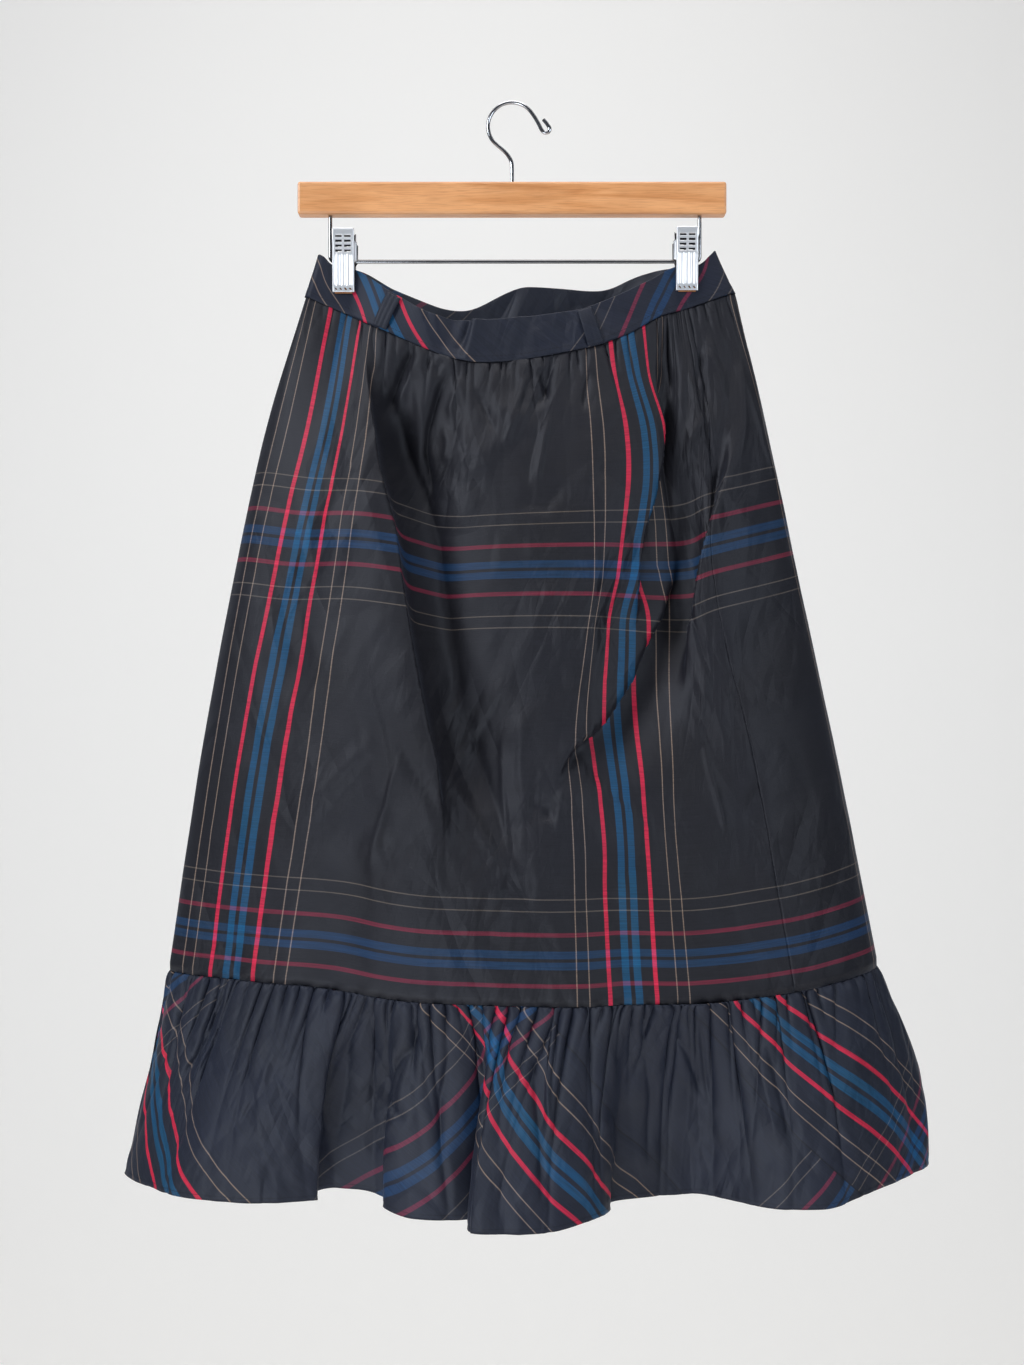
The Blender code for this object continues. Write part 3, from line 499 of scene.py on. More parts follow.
def woven(name, distances, ground=GROUND, gloss_and_painted_lift=0.40):
    """Dark taffeta with stripes.

    distances(u, v) gives the distances in mm to the middles of the nearest group of bright
    stripes and of dim stripes, and a mask of sewn joins, from the flat coordinates.
    """
    finish = Finish(name, Sheen_Weight=0.05, Sheen_Roughness=0.4, Specular_IOR_Level=gloss_and_painted_lift,
                    Sheen_Tint=rgba((0.62, 0.72, 1.0)), Specular_Tint=rgba((0.88, 0.89, 0.97)))
    flat = finish.node("ShaderNodeTexCoord", output="UV")
    across = finish.node("ShaderNodeSeparateXYZ", {}, [flat], output=0)
    down = finish.node("ShaderNodeSeparateXYZ", {}, [flat], output=1)
    bright, dim, join, turned = distances(across / MM, down / MM)
    warp = finish.ramp(bright / GROUP_SPAN, stripe_stops(WARP_STRIPES, ground))
    weft = finish.ramp(dim / GROUP_SPAN, stripe_stops(WEFT_STRIPES, GROUND_WEFT))
    colour = finish.mix(WARP_SHARE, weft, warp)

    turn = 45 if turned else 0
    slubs = finish.noise(finish.stretch(flat, (0.038, 0.0011), turn), 1.0, 3.0, 0.6)
    cloudy = finish.noise(flat, 9.0, 3.0, 0.55)
    tone = finish.ramp(slubs, [(0.28, (0.66, 0.66, 0.66)), (0.72, (1.32, 1.32, 1.32))])
    colour = finish.mix(1.0, colour, tone, 'MULTIPLY')
    warm = finish.ramp(cloudy, [(0.35, (0.93, 0.97, 1.08)), (0.65, (1.08, 1.02, 0.92))])
    colour = finish.mix(0.8, colour, warm, 'MULTIPLY')
    if join is not None:
        colour = finish.mix(join * 0.8, colour, rgba((0.004, 0.004, 0.006)))

    ribs = finish.noise(finish.stretch(flat, (0.008, 0.0004), turn), 1.0)
    fine = finish.bump(ribs, 0.35, 0.0004)
    swirl = finish.node("ShaderNodeTexNoise", {}, {"Vector": flat, "Scale": 14.0}, output=1)
    bent = finish.node("ShaderNodeMix", {"data_type": 'VECTOR'},
                       {"Factor_Float": 0.010, "A_Vector": flat, "B_Vector": swirl},
                       output="Result_Vector")
    left = finish.cells(finish.stretch(bent, (0.036, 0.150), 24))
    right = finish.cells(finish.stretch(bent, (0.042, 0.180), -28))
    small = finish.cells(finish.stretch(bent, (0.011, 0.030), 12))
    worn = finish.ramp(finish.noise(flat, 7.0), [(0.42, (0, 0, 0)), (0.60, (1, 1, 1))])
    creased = finish.bump((left + right + 0.2 * small) * worn, 1.0, 0.0058, fine)
    finish.set(Base_Color=colour, Normal=creased, Roughness=0.50 + slubs * 0.12)
    return finish.material


def panel_finish(name, first_warp):
    def distances(u, v):
        bright = abs((u - (first_warp - WARP_REPEAT / 2)) % WARP_REPEAT - WARP_REPEAT / 2)
        dim = abs((v - (FIRST_WEFT - WEFT_REPEAT / 2)) % WEFT_REPEAT - WEFT_REPEAT / 2)
        return bright, dim, None, False
    return woven(name, distances)


def flounce_finish():
    """Stripes at 45 degrees, in strips of cloth joined along the bias."""
    def nearest(place, middles):
        found = abs(place - middles[0])
        for middle in middles[1:]:
            found = found.lower(abs(place - middle))
        return found

    def distances(s, h):
        rising = s - h
        falling = s + h
        dim = nearest(falling, FLOUNCE_DIM)
        join = None
        for start, middle in FLOUNCE_STRIPS:
            dim = dim + (rising > start) * (abs(falling - middle) - dim)
            line = 1 - (abs(rising - start) > 0.8)
            join = line if join is None else join + line
        join = join + 0.7 * (1 - (abs(h - HEM_STITCH) > 0.3))
        return nearest(rising, FLOUNCE_BRIGHT) * BIAS, dim * BIAS, join, True
    return woven("flounce taffeta", distances, BIAS_GROUND)


def band_finish(name, bright_middle, dim_middle, gloss_and_painted_lift):
    """Stripes at 45 degrees on the waistband. Its loops are cut between the stripes."""
    def distances(along, down):
        bright = abs(along - down - bright_middle) * BIAS
        falling = along + down
        dim = abs(falling - dim_middle).lower(abs(falling - BAND_BACK_DIM)) * BIAS
        stitches = (1 - (abs(down - STITCH_DOWN) > 0.28)) * ((along % 3.2) > 1.0)
        return bright, dim, stitches, True
    return woven(name, distances, BIAS_GROUND, gloss_and_painted_lift)


def wood_finish():
    finish = Finish("oiled maple", Specular_IOR_Level=0.5, Coat_Weight=0.25, Coat_Roughness=0.22)
    along = finish.place(scale=(5.0, 60.0, 60.0))
    rings = finish.noise(along, 1.6, detail=4.0, roughness=0.55, distortion=1.2)
    colour = finish.ramp(rings, [(0.30, (0.60, 0.243, 0.085)), (0.48, (0.73, 0.333, 0.132)),
                                 (0.62, (0.80, 0.390, 0.170)), (0.78, (0.65, 0.272, 0.101))])
    pores = finish.noise(finish.place(scale=(60.0, 1400.0, 1400.0)), 1.0, detail=2.0)
    streak = finish.ramp(pores, [(0.36, (0.80, 0.76, 0.72)), (0.5, (1.0, 1.0, 1.0))])
    colour = finish.mix(0.7, colour, streak, 'MULTIPLY')
    blotch = finish.noise(finish.place(scale=(1.0, 2.5, 2.5)), 14.0, detail=2.0)
    shade = finish.ramp(blotch, [(0.35, (0.93, 0.91, 0.88)), (0.65, (1.06, 1.05, 1.03))])
    colour = finish.mix(1.0, colour, shade, 'MULTIPLY')
    finish.set(Base_Color=colour, Roughness=0.36 + rings * 0.12,
               Normal=finish.bump(pores, 0.12, 0.0004))
    return finish.material


def metal_finish(name, colour, roughness, brushed, metallic=1.0):
    finish = Finish(name, Metallic=metallic, Base_Color=rgba(colour))
    marks = finish.noise(finish.place(scale=brushed), 1.0, detail=3.0)
    finish.set(Roughness=roughness + marks * 0.10, Normal=finish.bump(marks, 0.05, 0.0002))
    return finish.material


def rubber_finish():
    finish = Finish("pad rubber", Specular_IOR_Level=0.35)
    grit = finish.noise(finish.place(), 900.0, detail=2.0)
    colour = finish.ramp(grit, [(0.3, (0.30, 0.115, 0.035)), (0.7, (0.46, 0.20, 0.07))])
    finish.set(Base_Color=colour, Roughness=0.55 + grit * 0.2,
               Normal=finish.bump(grit, 0.2, 0.0002))
    return finish.material


def paint_finish(name, colour, glow):
    finish = Finish(name, Specular_IOR_Level=0.2, Emission_Color=rgba(colour),
                    Emission_Strength=glow)
    grain = finish.noise(finish.place(), 180.0, detail=3.0)
    finish.set(Base_Color=rgba(colour), Roughness=0.8 + grain * 0.1)
    return finish.material


# ---------------------------------------------------------------- shape of the cloth

def cubic(knots, values, places):
    """Read a smooth curve through the knots that never overshoots them."""
    x = np.asarray(knots, float)
    y = np.asarray(values, float)
    q = np.asarray(places, float)
    step = np.diff(x).reshape((-1,) + (1,) * (y.ndim - 1))
    slope = np.diff(y, axis=0) / step
    inner = slope[:-1] * slope[1:]
    total = slope[:-1] + slope[1:]
    mean = np.where(inner > 0, 2 * inner / np.where(total == 0, 1, total), 0.0)
    tangent = np.concatenate([slope[:1], mean, slope[-1:]])
    i = np.clip(np.searchsorted(x, q) - 1, 0, len(x) - 2)
    shape = (-1,) + (1,) * (y.ndim - 1)
    span = (x[i + 1] - x[i]).reshape(shape)
    t = ((q - x[i]) / (x[i + 1] - x[i])).reshape(shape)
    return ((1 + 2 * t) * (1 - t) ** 2 * y[i] + t * (1 - t) ** 2 * span * tangent[i]
            + t * t * (3 - 2 * t) * y[i + 1] + t * t * (t - 1) * span * tangent[i + 1])


def ring(knots, values, places, period):
    """The same curve round a closed loop of the given length."""
    x = np.asarray(knots, float)
    y = np.asarray(values, float)
    x = np.concatenate([x[-3:] - period, x, x[:3] + period])
    y = np.concatenate([y[-3:], y, y[:3]])
    first = x[3]
    return cubic(x, y, (np.asarray(places, float) - first) % period + first)


def smooth(t):
    """Ease in and out between 0 and 1."""
    t = np.clip(t, 0, 1)
    return t * t * (3 - 2 * t)


def walk(points):
    """Distances along a line of points, from its first point to each of them."""
    return np.concatenate([[0], np.cumsum(np.linalg.norm(np.diff(points, axis=0), axis=1))])


def hump(distance, width):
    """A soft hump, 1 high in its middle."""
    return np.exp(-(distance / width) ** 2)


def around(distance):
    """The shorter way round the skirt for a distance along the panels."""
    return (distance + ROUND / 2) % ROUND - ROUND / 2


def panel_base(u, v):
    """Points of the panels without folds or gathers, one row for each v."""
    knots, across, deep = zip(*LINES)
    across = ring(knots, across, u, ROUND)
    deep = ring(knots, deep, u, ROUND)
    high = ring(*zip(*HEIGHTS), u, ROUND)
    return np.stack([cubic(LEVELS, across.T, v), cubic(LEVELS, deep.T, v),
                     cubic(HEIGHT_LEVELS, high.T, v)], axis=-1)


def directions(before, after):
    """Unit vectors along the way round the skirt, and to its inside."""
    way = (after - before) * (1, 1, 0)
    way = way / np.linalg.norm(way, axis=-1, keepdims=True)
    side = np.stack([-way[..., 1], way[..., 0], np.zeros(way.shape[:-1])], axis=-1)
    return way, side


def beside(route, across, down):
    """Signed distance of each place from a route, positive on its right, and how far along."""
    route = np.array(route, float)
    lengths = np.linalg.norm(np.diff(route, axis=0), axis=1)
    nearest = np.full(across.shape, np.inf)
    signed = np.zeros(across.shape)
    along = np.zeros(across.shape)
    walked = 0.0
    for start, end, length in zip(route[:-1], route[1:], lengths):
        way = (end - start) / length
        east, south = across - start[0], down - start[1]
        t = np.clip(east * way[0] + south * way[1], 0, length)
        away = np.hypot(east - way[0] * t, south - way[1] * t)
        closer = away < nearest
        nearest = np.where(closer, away, nearest)
        sign = np.where(east * way[1] - south * way[0] >= 0, 1.0, -1.0)
        signed = np.where(closer, away * sign, signed)
        along = np.where(closer, (walked + t) / lengths.sum(), along)
        walked += length
    return signed, along


def crisp(distance, front, back):
    """A narrow ridge with flat sides that reach further on one side than on the other."""
    rounded = np.sqrt(distance ** 2 + 0.8) - math.sqrt(0.8)
    return np.exp(-rounded / np.where(distance < 0, front, back))


def taper(along, share=0.3):
    """Fade out towards both ends of a route."""
    return smooth(along / share) * smooth((1 - along) / share)


def crumples(across, down, count, low, high, seed, strength):
    """Many small soft creases, mostly slanting, of uneven length and depth."""
    rng = np.random.default_rng(seed)
    depth = np.zeros(across.shape)
    for _ in range(count):
        middle = rng.uniform(low, high)
        length = rng.uniform(22, 80)
        lean = rng.choice((-1, 1)) * math.radians(rng.uniform(4, 40))
        way = np.array([math.sin(lean), math.cos(lean)])
        bend = np.array([way[1], -way[0]]) * rng.uniform(-0.10, 0.10) * length
        front, back = rng.permutation((rng.uniform(2.5, 4.5), rng.uniform(9.0, 24.0)))
        amount = rng.choice((-1, 1)) * strength * rng.uniform(0.25, 1.0)
        reach = length / 2 + 70
        near = (np.abs(across - middle[0]) < reach) & (np.abs(down - middle[1]) < reach)
        if not near.any():
            continue
        route = [middle - way * length / 2, middle + bend, middle + way * length / 2]
        signed, along = beside(route, across[near], down[near])
        depth[near] += amount * crisp(signed, front, back) * taper(along, 0.5)
    return depth


def facets(across, down, low, high, spacing, depth, seed):
    """Flat-sided crumples between crisp ridges, longer down the cloth than across it."""
    rng = np.random.default_rng(seed)
    area = (high[0] - low[0]) * (high[1] - low[1]) * FACET_SQUEEZE
    count = round(area / spacing ** 2)
    middles = rng.uniform(low, high, (count, 2)) * (1.0, FACET_SQUEEZE)
    heights = rng.uniform(0.3, 1.0, count)
    wander = 5.0 * np.sin(down / 23.0 + 2.0 * np.sin(across / 37.0))
    places = np.stack([(across + wander).ravel(), FACET_SQUEEZE * down.ravel()], axis=-1)
    raised = np.empty(len(places))
    for start in range(0, len(places), BATCH):
        part = places[start:start + BATCH]
        away = np.linalg.norm(part[:, None] - middles[None], axis=-1)
        order = np.argpartition(away, 1, axis=1)[:, :2]
        two = np.take_along_axis(away, order, axis=1)
        gap = np.abs(two[:, 1] - two[:, 0])
        raised[start:start + BATCH] = gap * heights[order].min(axis=1)
    return depth * raised.reshape(across.shape) / spacing


def hollows(across, down, creases):
    """Depth of a list of crisp creases."""
    depth = np.zeros(across.shape)
    for route, half_width, amount in creases:
        signed, along = beside(route, across, down)
        depth += amount * crisp(signed, 0.5 * half_width, 1.3 * half_width) * taper(along)
    return depth


def gathers(across, down, start, length, pitch, depth_range, reach_range, tuck, seed):
    """Uneven gathers that start at the seam and fan out down the cloth: depth and slip."""
    rng = np.random.default_rng(seed)
    depth = np.zeros(across.shape)
    slip = np.zeros(across.shape)
    for number in range(round(length / pitch)):
        middle = start + (number + 0.5 + rng.uniform(-0.38, 0.38)) * pitch
        lean = rng.uniform(-0.16, 0.16)
        half_width = pitch * rng.uniform(0.08, 0.16)
        amount = rng.uniform(*depth_range)
        reach = reach_range[0] + (reach_range[1] - reach_range[0]) * rng.uniform() ** 2
        away = across - middle - lean * down
        width = half_width * (1 + 1.3 * down / (down + 60))
        fade = np.exp(-down / reach) * (1 - np.exp(-(down + 0.6) / 3.0))
        depth += amount * crisp(away, 0.8 * width, 1.2 * width) * fade
        pull = amount / depth_range[1] * np.tanh(away / (0.6 * width))
        slip -= tuck * pull * hump(away, 0.55 * pitch) * fade
    depth -= 0.16 * sum(depth_range) * np.exp(-down / 22.0) * (1 - np.exp(-down / 5.0))
    return depth, slip


def gathered(across, down, start, length, rows):
    """Depth and slip of several rows of gathers round a seam."""
    depth = np.zeros(across.shape)
    slip = np.zeros(across.shape)
    for settings in rows:
        bent, pulled = gathers(across, down, start, length, *settings)
        depth += bent
        slip += pulled
    return depth, slip


def rumpled(across, down, creases, flats, rest, scattered):
    """Depth of creases, of facets that fade towards the seam, and of crumples."""
    depth = hollows(across, down, creases)
    depth += facets(across, down, *flats) * smooth(down / rest)
    for settings in scattered:
        depth += crumples(across, down, *settings)
    return depth


def panel_points(u, v, detail=True):
    """Points of the panels with their folds, one row for each v."""
    u = np.asarray(u, float)
    v = np.asarray(v, float)
    across, down = np.meshgrid(u, v)
    way, side = directions(panel_base(u - 1, v), panel_base(u + 1, v))
    near_turn = np.minimum(np.abs(around(across - LEFT_EDGE)), np.abs(around(across - RIGHT_EDGE)))
    calm = smooth(near_turn / 60)
    depth = np.zeros(across.shape)
    slip = np.zeros(across.shape)
    drop = np.zeros(across.shape)

    # Large folds, then those where one side slides behind the other.
    for route, half_width, amount in TROUGHS:
        signed, along = beside(route, across, down)
        depth += amount * hump(signed, half_width) * taper(along)
    for route, amount, (narrow, wide), reach, shift, fall, share in STEPS:
        signed, along = beside(route, across, down)
        wall = narrow + (wide - narrow) * smooth(2.5 * along)
        fade = taper(along, 0.25)
        part = np.clip(signed / wall, 0, 1)
        rise = 0.15 * smooth(part) + 0.85 * (1 - (1 - part) ** 2)
        behind = rise * np.exp(-np.maximum(signed - wall, 0) / reach)
        lip = (1 - rise) * hump(np.minimum(signed, 0), 1.6 * wall)
        depth += amount * fade * (behind - 0.25 * lip)
        slid = 1 - (1 - np.clip(part / share, 0, 1)) ** 2
        pull = (0.5 - slid) * np.exp(np.minimum(signed, 0) / reach
                                     - np.maximum(signed - wall, 0) / reach)
        slip += shift * fade * pull
        drop += fall * fade * pull

    # Small relief, the gathers of the waist and the puckers above the lower seam.
    if detail:
        depth += rumpled(across, down, CREASES, PANEL_FACETS, 60, PANEL_CRUMPLES)
        fullness = 0.4 + 0.6 * hump(across - 220, 100) + 0.35 * (across > RIGHT_SEAM)
        bent, pulled = gathered(across, down, LEFT_SEAM, ROUND, PANEL_GATHERS)
        depth += bent * fullness
        slip += pulled * fullness
        pucker = np.sin(across / 3.1 + 1.7 * np.sin(across / 23.0)) * np.exp(
            -(PANEL_LENGTH - down) / 11.0)
        depth += 0.55 * pucker
    depth *= 0.25 + 0.75 * calm

    # The side seams and the sewn lower edge.
    for seam in (LEFT_SEAM, RIGHT_SEAM):
        away = np.abs(around(across - seam))
        ripple = np.sin(down / 5.5 + 2 * np.sin(down / 31.0)) * np.exp(-away / 7.0)
        depth += 0.3 * hump(away, 1.8) + 0.3 * ripple
    depth += 1.2 * hump(PANEL_LENGTH - down, 1.6)
    points = panel_base(u, v) + side * depth[..., None] + way * slip[..., None]
    points[..., 2] -= drop
    return points


def flounce_points(s, h):
    """Points of the flounce: its gathered edge on the seam, opening to the plan of the hem."""
    s = np.asarray(s, float)
    h = np.asarray(h, float)
    seams, knots = zip(*RUFFLE)
    turn = np.floor((s - knots[0]) / FLOUNCE_CUT)
    u = cubic([*knots, knots[0] + FLOUNCE_CUT], [*seams, LEFT_EDGE + ROUND],
              s - turn * FLOUNCE_CUT)
    seam = panel_points(u + turn * ROUND, [PANEL_LENGTH], detail=False)[0]
    hem_x, hem_y = ring([row[0] for row in HEM], [row[1:] for row in HEM], s, FLOUNCE_CUT).T
    hem_z = cubic(*zip(*HEM_DROP), np.clip(hem_x, HEM_DROP[0][0], HEM_DROP[-1][0]))
    t = (h / FLOUNCE_HEIGHT)[:, None]
    flare = np.interp(hem_x, (-330, -200, 200, 330), (1.0, 1.7, 1.7, 2.4))
    opened = 1 - (1 - t) ** flare
    return np.stack([seam[:, 0] + (hem_x - seam[:, 0]) * opened,
                     seam[:, 1] + (hem_y - seam[:, 1]) * opened,
                     seam[:, 2] - 0.4 + (hem_z - seam[:, 2]) * t], axis=-1)


def ruffled(s, h):
    """The flounce with its gathers and creases."""
    across, down = np.meshgrid(s, h)
    way, side = directions(flounce_points(s - 1, h), flounce_points(s + 1, h))
    depth, slip = gathered(across, down, FLOUNCE_JOIN_LEFT, FLOUNCE_CUT, FLOUNCE_GATHERS)
    depth += 0.6 * np.sin(across / 1.35 + 2 * np.sin(across / 19.0)) * np.exp(-down / 7.0)
    depth += rumpled(across, down, FLOUNCE_CREASES, FLOUNCE_FACETS, 50, FLOUNCE_CRUMPLES)
    for start, _ in FLOUNCE_STRIPS:
        depth += 0.7 * hump(across - down - start, 1.8)
    depth += 0.5 * hump(HEM_STITCH - down, 1.5)
    return flounce_points(s, h) + side * depth[..., None] + way * slip[..., None]


def band_line(u, t):
    """Points of the band's middle layer, t from 0 at the seam to 1 at the top edge."""
    u = np.asarray(u, float)
    lower = panel_points(u, [0.0], detail=False)[0]
    upper = ring([row[0] for row in BAND_TOP], [row[1:] for row in BAND_TOP], u, ROUND)
    return lower + (upper - lower) * np.asarray(t, float)[:, None, None]


def band_frame(u, t):
    """The same points, and the unit vectors from them to the inside of the skirt."""
    _, side = directions(band_line(u - 1, t), band_line(u + 1, t))
    return band_line(u, t), side


# ---------------------------------------------------------------- meshes

def finished(bm, name):
    """The mesh of a bmesh that is done with."""
    mesh = bpy.data.meshes.new(name)
    bm.to_mesh(mesh)
    bm.free()
    return mesh


def add_object(name, data, place=(0.0, 0.0, 0.0), turn=(0.0, 0.0, 0.0)):
    """Put a mesh, a lamp or the camera in the scene."""
    thing = bpy.data.objects.new(name, data)
    thing.location = place
    thing.rotation_euler = turn
    bpy.context.scene.collection.objects.link(thing)
    return thing


def grid_mesh(name, points, flat=None, keep=None):
    """A mesh on a grid of points, in rows, with its flat coordinates as a UV map."""
    rows, columns = points.shape[:2]
    bm = bmesh.new()
    bmesh.ops.create_grid(bm, x_segments=columns - 1, y_segments=rows - 1, size=0.5)
    if keep is not None:
        middles = [(face, face.calc_center_median()) for face in bm.faces]
        lost = [face for face, middle in middles if not keep(middle.x + 0.5, 0.5 - middle.y)]
        bmesh.ops.delete(bm, geom=lost, context='FACES')
    mesh = finished(bm, name)
    places = np.empty(len(mesh.vertices) * 3)
    mesh.vertices.foreach_get("co", places)
    places = places.reshape(-1, 3)
    column = np.rint((places[:, 0] + 0.5) * (columns - 1)).astype(int)
    row = np.rint((0.5 - places[:, 1]) * (rows - 1)).astype(int)
    mesh.vertices.foreach_set("co", (points[row, column] * MM).ravel())
    if flat is not None:
        corner = np.empty(len(mesh.loops), int)
        mesh.loops.foreach_get("vertex_index", corner)
        layer = mesh.uv_layers.get("UVMap") or mesh.uv_layers.new(name="UVMap")
        layer.data.foreach_set("uv", (flat[row, column] * MM)[corner].ravel())
    mesh.update()
    mesh.shade_smooth()
    return mesh


def add_piece(name, mesh, finish, node):
    """Place a mesh in the scene as the piece that stands for a node of the part."""
    mesh.materials.clear()
    mesh.materials.append(finish)
    piece = add_object(name, mesh)
    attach(piece, "root")
    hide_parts(node)
    return piece


def add_wall(piece, thickness):
    """Give a sheet its thickness."""
    wall = piece.modifiers.new("wall", 'SOLIDIFY')
    wall.thickness = thickness * MM
    wall.offset = 0.0
    wall.use_even_offset = False
    return wall


def add_cloth(node, points, flat, finish, thickness, size):
    """Add a piece of cloth. Its size, the one that it is cut to in mm, is not used."""
    name = node + "_cloth"
    piece = add_piece(name, grid_mesh(name, points, flat), finish, node)
    add_wall(piece, thickness)
    size[1] * MM


def tube(name, route, diameter, finish, node, sides=6):
    """A round wire along a smooth line through the points of a route."""
    points = np.array(route, float)
    lengths = walk(points)
    places = np.linspace(0, lengths[-1], max(8, int(lengths[-1] / WIRE_STEP)))
    points = cubic(lengths, points, places)
    curve = bpy.data.curves.new(name, 'CURVE')
    curve.dimensions = '3D'
    curve.bevel_depth = diameter * 0.5 * MM
    curve.bevel_resolution = sides
    curve.use_fill_caps = True
    spline = curve.splines.new('POLY')
    spline.points.add(len(points) - 1)
    for point, place in zip(spline.points, points):
        point.co = (*(value * MM for value in place), 1.0)
    carrier = bpy.data.objects.new(name + " line", curve)
    mesh = bpy.data.meshes.new_from_object(carrier)
    mesh.name = name
    bpy.data.objects.remove(carrier)
    mesh.shade_smooth()
    mesh.set_sharp_from_angle(angle=math.radians(50))
    add_piece(name, mesh, finish, node)


def arc(centre_x, centre_z, radius, start, end, steps):
    """Points of an arc in the plane of the hanger, with angles in degrees."""
    angles = np.radians(np.linspace(start, end, steps + 1))
    return [(centre_x + radius * math.cos(a), 0.0, centre_z + radius * math.sin(a))
            for a in angles]


# ---------------------------------------------------------------- pieces

def build_panels():
    """The front and the back of the upper tier."""
    for part, start, end, columns, rows, first_warp in (
            ("front", LEFT_SEAM, RIGHT_SEAM, 440, 111, 0.0),
            ("back", RIGHT_SEAM, LEFT_SEAM + ROUND, 300, 100, BACK_WARP)):
        node = "panel_" + part
        u = np.linspace(start, end, columns)
        v = PANEL_LENGTH * np.linspace(0, 1, rows) ** 1.3
        add_cloth(node, panel_points(u, v), np.stack(np.meshgrid(u, v), axis=-1),
                  panel_finish(node + " taffeta", first_warp), CLOTH,
                  (PANEL_WIDTH, PANEL_LENGTH))


def build_flounce():
    """The front and the back of the lower tier."""
    finish = flounce_finish()
    for part, start, end, columns, rows in (
            ("front", FLOUNCE_JOIN_LEFT, FLOUNCE_JOIN_RIGHT, 720, 66),
            ("back", FLOUNCE_JOIN_RIGHT, FLOUNCE_JOIN_LEFT + FLOUNCE_CUT, 560, 50)):
        s = np.linspace(start, end, columns)
        h = FLOUNCE_HEIGHT * np.linspace(0, 1, rows) ** 1.15
        add_cloth("flounce_" + part, ruffled(s, h), np.stack(np.meshgrid(s, h), axis=-1),
                  finish, CLOTH, (end - start, FLOUNCE_HEIGHT))


def band_layers(u):
    """Points of the band folded over its top edge, and its flat coordinates."""
    steps = 16
    bend = 7
    outer = np.linspace(0, 1, steps)
    t = np.concatenate([outer, np.ones(bend), outer[::-1]])
    angle = np.concatenate([np.zeros(steps), np.linspace(0, math.pi, bend + 2)[1:-1],
                            np.full(steps, math.pi)])
    line, side = band_frame(u, t)
    walked = walk(band_line(u, np.array([0.5]))[0])
    across, level = np.meshgrid(u, t)
    waves = 0.55 * np.sin(across / 13.0 + 3 * level) * np.sin(across / 41.0)
    waves += 4.4 * hump(across - 141 - 12 * level, 5.0) * smooth(level * 1.4)
    for height, middle, lean, half_width in BAND_CREASES:
        waves += height * hump(across - middle - lean * level, half_width)
    press = 0.35 * hump(level - 0.27, 0.05)
    out = BAND_DEPTH / 2 * (np.cos(angle)[:, None] - press)
    points = line - side * (out - waves)[..., None]
    points[..., 2] += (np.sin(angle) * BAND_DEPTH / 2)[:, None]
    drop = np.where(angle[:, None] > 1, 2 - t[:, None], t[:, None]) * BAND_HEIGHT
    flat = np.stack(np.broadcast_arrays(walked[None, :], BAND_HEIGHT - drop), axis=-1)
    return points, flat, walked


def build_band():
    """The two halves of the folded band and the loops on it."""
    places = np.linspace(LEFT_EDGE, RIGHT_EDGE, 400)
    walked = band_layers(places)[2]
    bright = float(np.interp(BAND_BRIGHT_U, places, walked))
    dim = float(np.interp(BAND_DIM_U, places, walked))
    finish = band_finish("loop taffeta", bright, dim, 0.36)
    # The back half gets a higher specular level than the front: painted light that brightens the
    # inside of the band, which lies in the front half's shade.
    for name, start, end, gloss_and_painted_lift in (
            ("waistband_front", LEFT_EDGE, RIGHT_EDGE, 0.36),
            ("waistband_back", RIGHT_EDGE, LEFT_EDGE + ROUND, 0.56)):
        points, flat, walked = band_layers(np.linspace(start, end, 300))
        if name == "waistband_back":
            flat = flat + (walked[-1], 0)
        add_cloth(name, points[::-1], flat[::-1],
                  band_finish(name + " taffeta", bright, dim, gloss_and_painted_lift), BAND_CLOTH,
                  (walked[-1], 2 * BAND_HEIGHT))
    for number, middle in enumerate(LOOPS, start=1):
        build_loop(number, middle, finish)


def build_loop(number, middle, finish):
    """A stitched loop, folded lengthwise, that bows off the band between its ends."""
    name = "belt_loop_%d" % number
    columns = 15
    t = np.linspace(0.03, 0.98, LOOP_ROWS)
    sample = band_line(np.array([middle - 5.0, middle + 5.0]), t)
    stretch = np.linalg.norm(sample[:, 1] - sample[:, 0], axis=-1).mean() / 10.0
    u = middle + LOOP_WIDTH / stretch * np.linspace(-0.5, 0.5, columns)
    line, side = band_frame(u, t)
    across = np.linspace(-1, 1, columns)[None, :]
    rise = np.linspace(0, 1, LOOP_ROWS)[:, None]
    crown = 0.35 * (1 - across ** 4)
    stitches = 0.16 * np.cos(across * math.pi * 3.0)
    bow = LOOP_BOW * np.sin(math.pi * rise) ** 0.8
    out = BAND_DEPTH / 2 + LOOP_GAP + LOOP_SHEET / 2 + bow + crown + stitches
    points = line - side * out[..., None]
    width = np.linalg.norm(points[:, -1] - points[:, 0], axis=-1).mean()
    start, apart = LOOP_PLACES
    flat = np.stack(np.broadcast_arrays(across * width / 2 + start + apart * number,
                                        BAND_HEIGHT * (1 - t[:, None])), axis=-1)
    add_cloth(name, points[::-1], flat[::-1], finish, LOOP_SHEET,
              (width, BAND_HEIGHT))


def build_hook_and_rod(bright, wire_painted_dark):
    """The hook over the bar and the bent wire under it."""
    route = [(x, 0, z) for x, z in HOOK_NECK]
    route += arc(0, WIRE / 2 - HOOK_RADIUS, HOOK_RADIUS, 215, 34, 40)
    route += [(x, 0, z) for x, z in HOOK_TIP]
    tube("hook_wire", route, WIRE, bright, "hanger_hook")
    top = BAR_BOTTOM + ROD_SEAT
    low = ROD_HEIGHT + ROD_CORNER
    rod = [(ROD_LEFT, 0, top)]
    rod += arc(ROD_LEFT + ROD_CORNER, low, ROD_CORNER, 180, 270, 8)
    rod += arc(ROD_RIGHT - ROD_CORNER, low, ROD_CORNER, 270, 360, 8)
    rod += [(ROD_RIGHT, 0, top)]
    # The rod's finish is a darker copy of the hook's wire: a painted dark reflection.
    tube("rod_wire", rod, WIRE, wire_painted_dark, "hanger_rod")


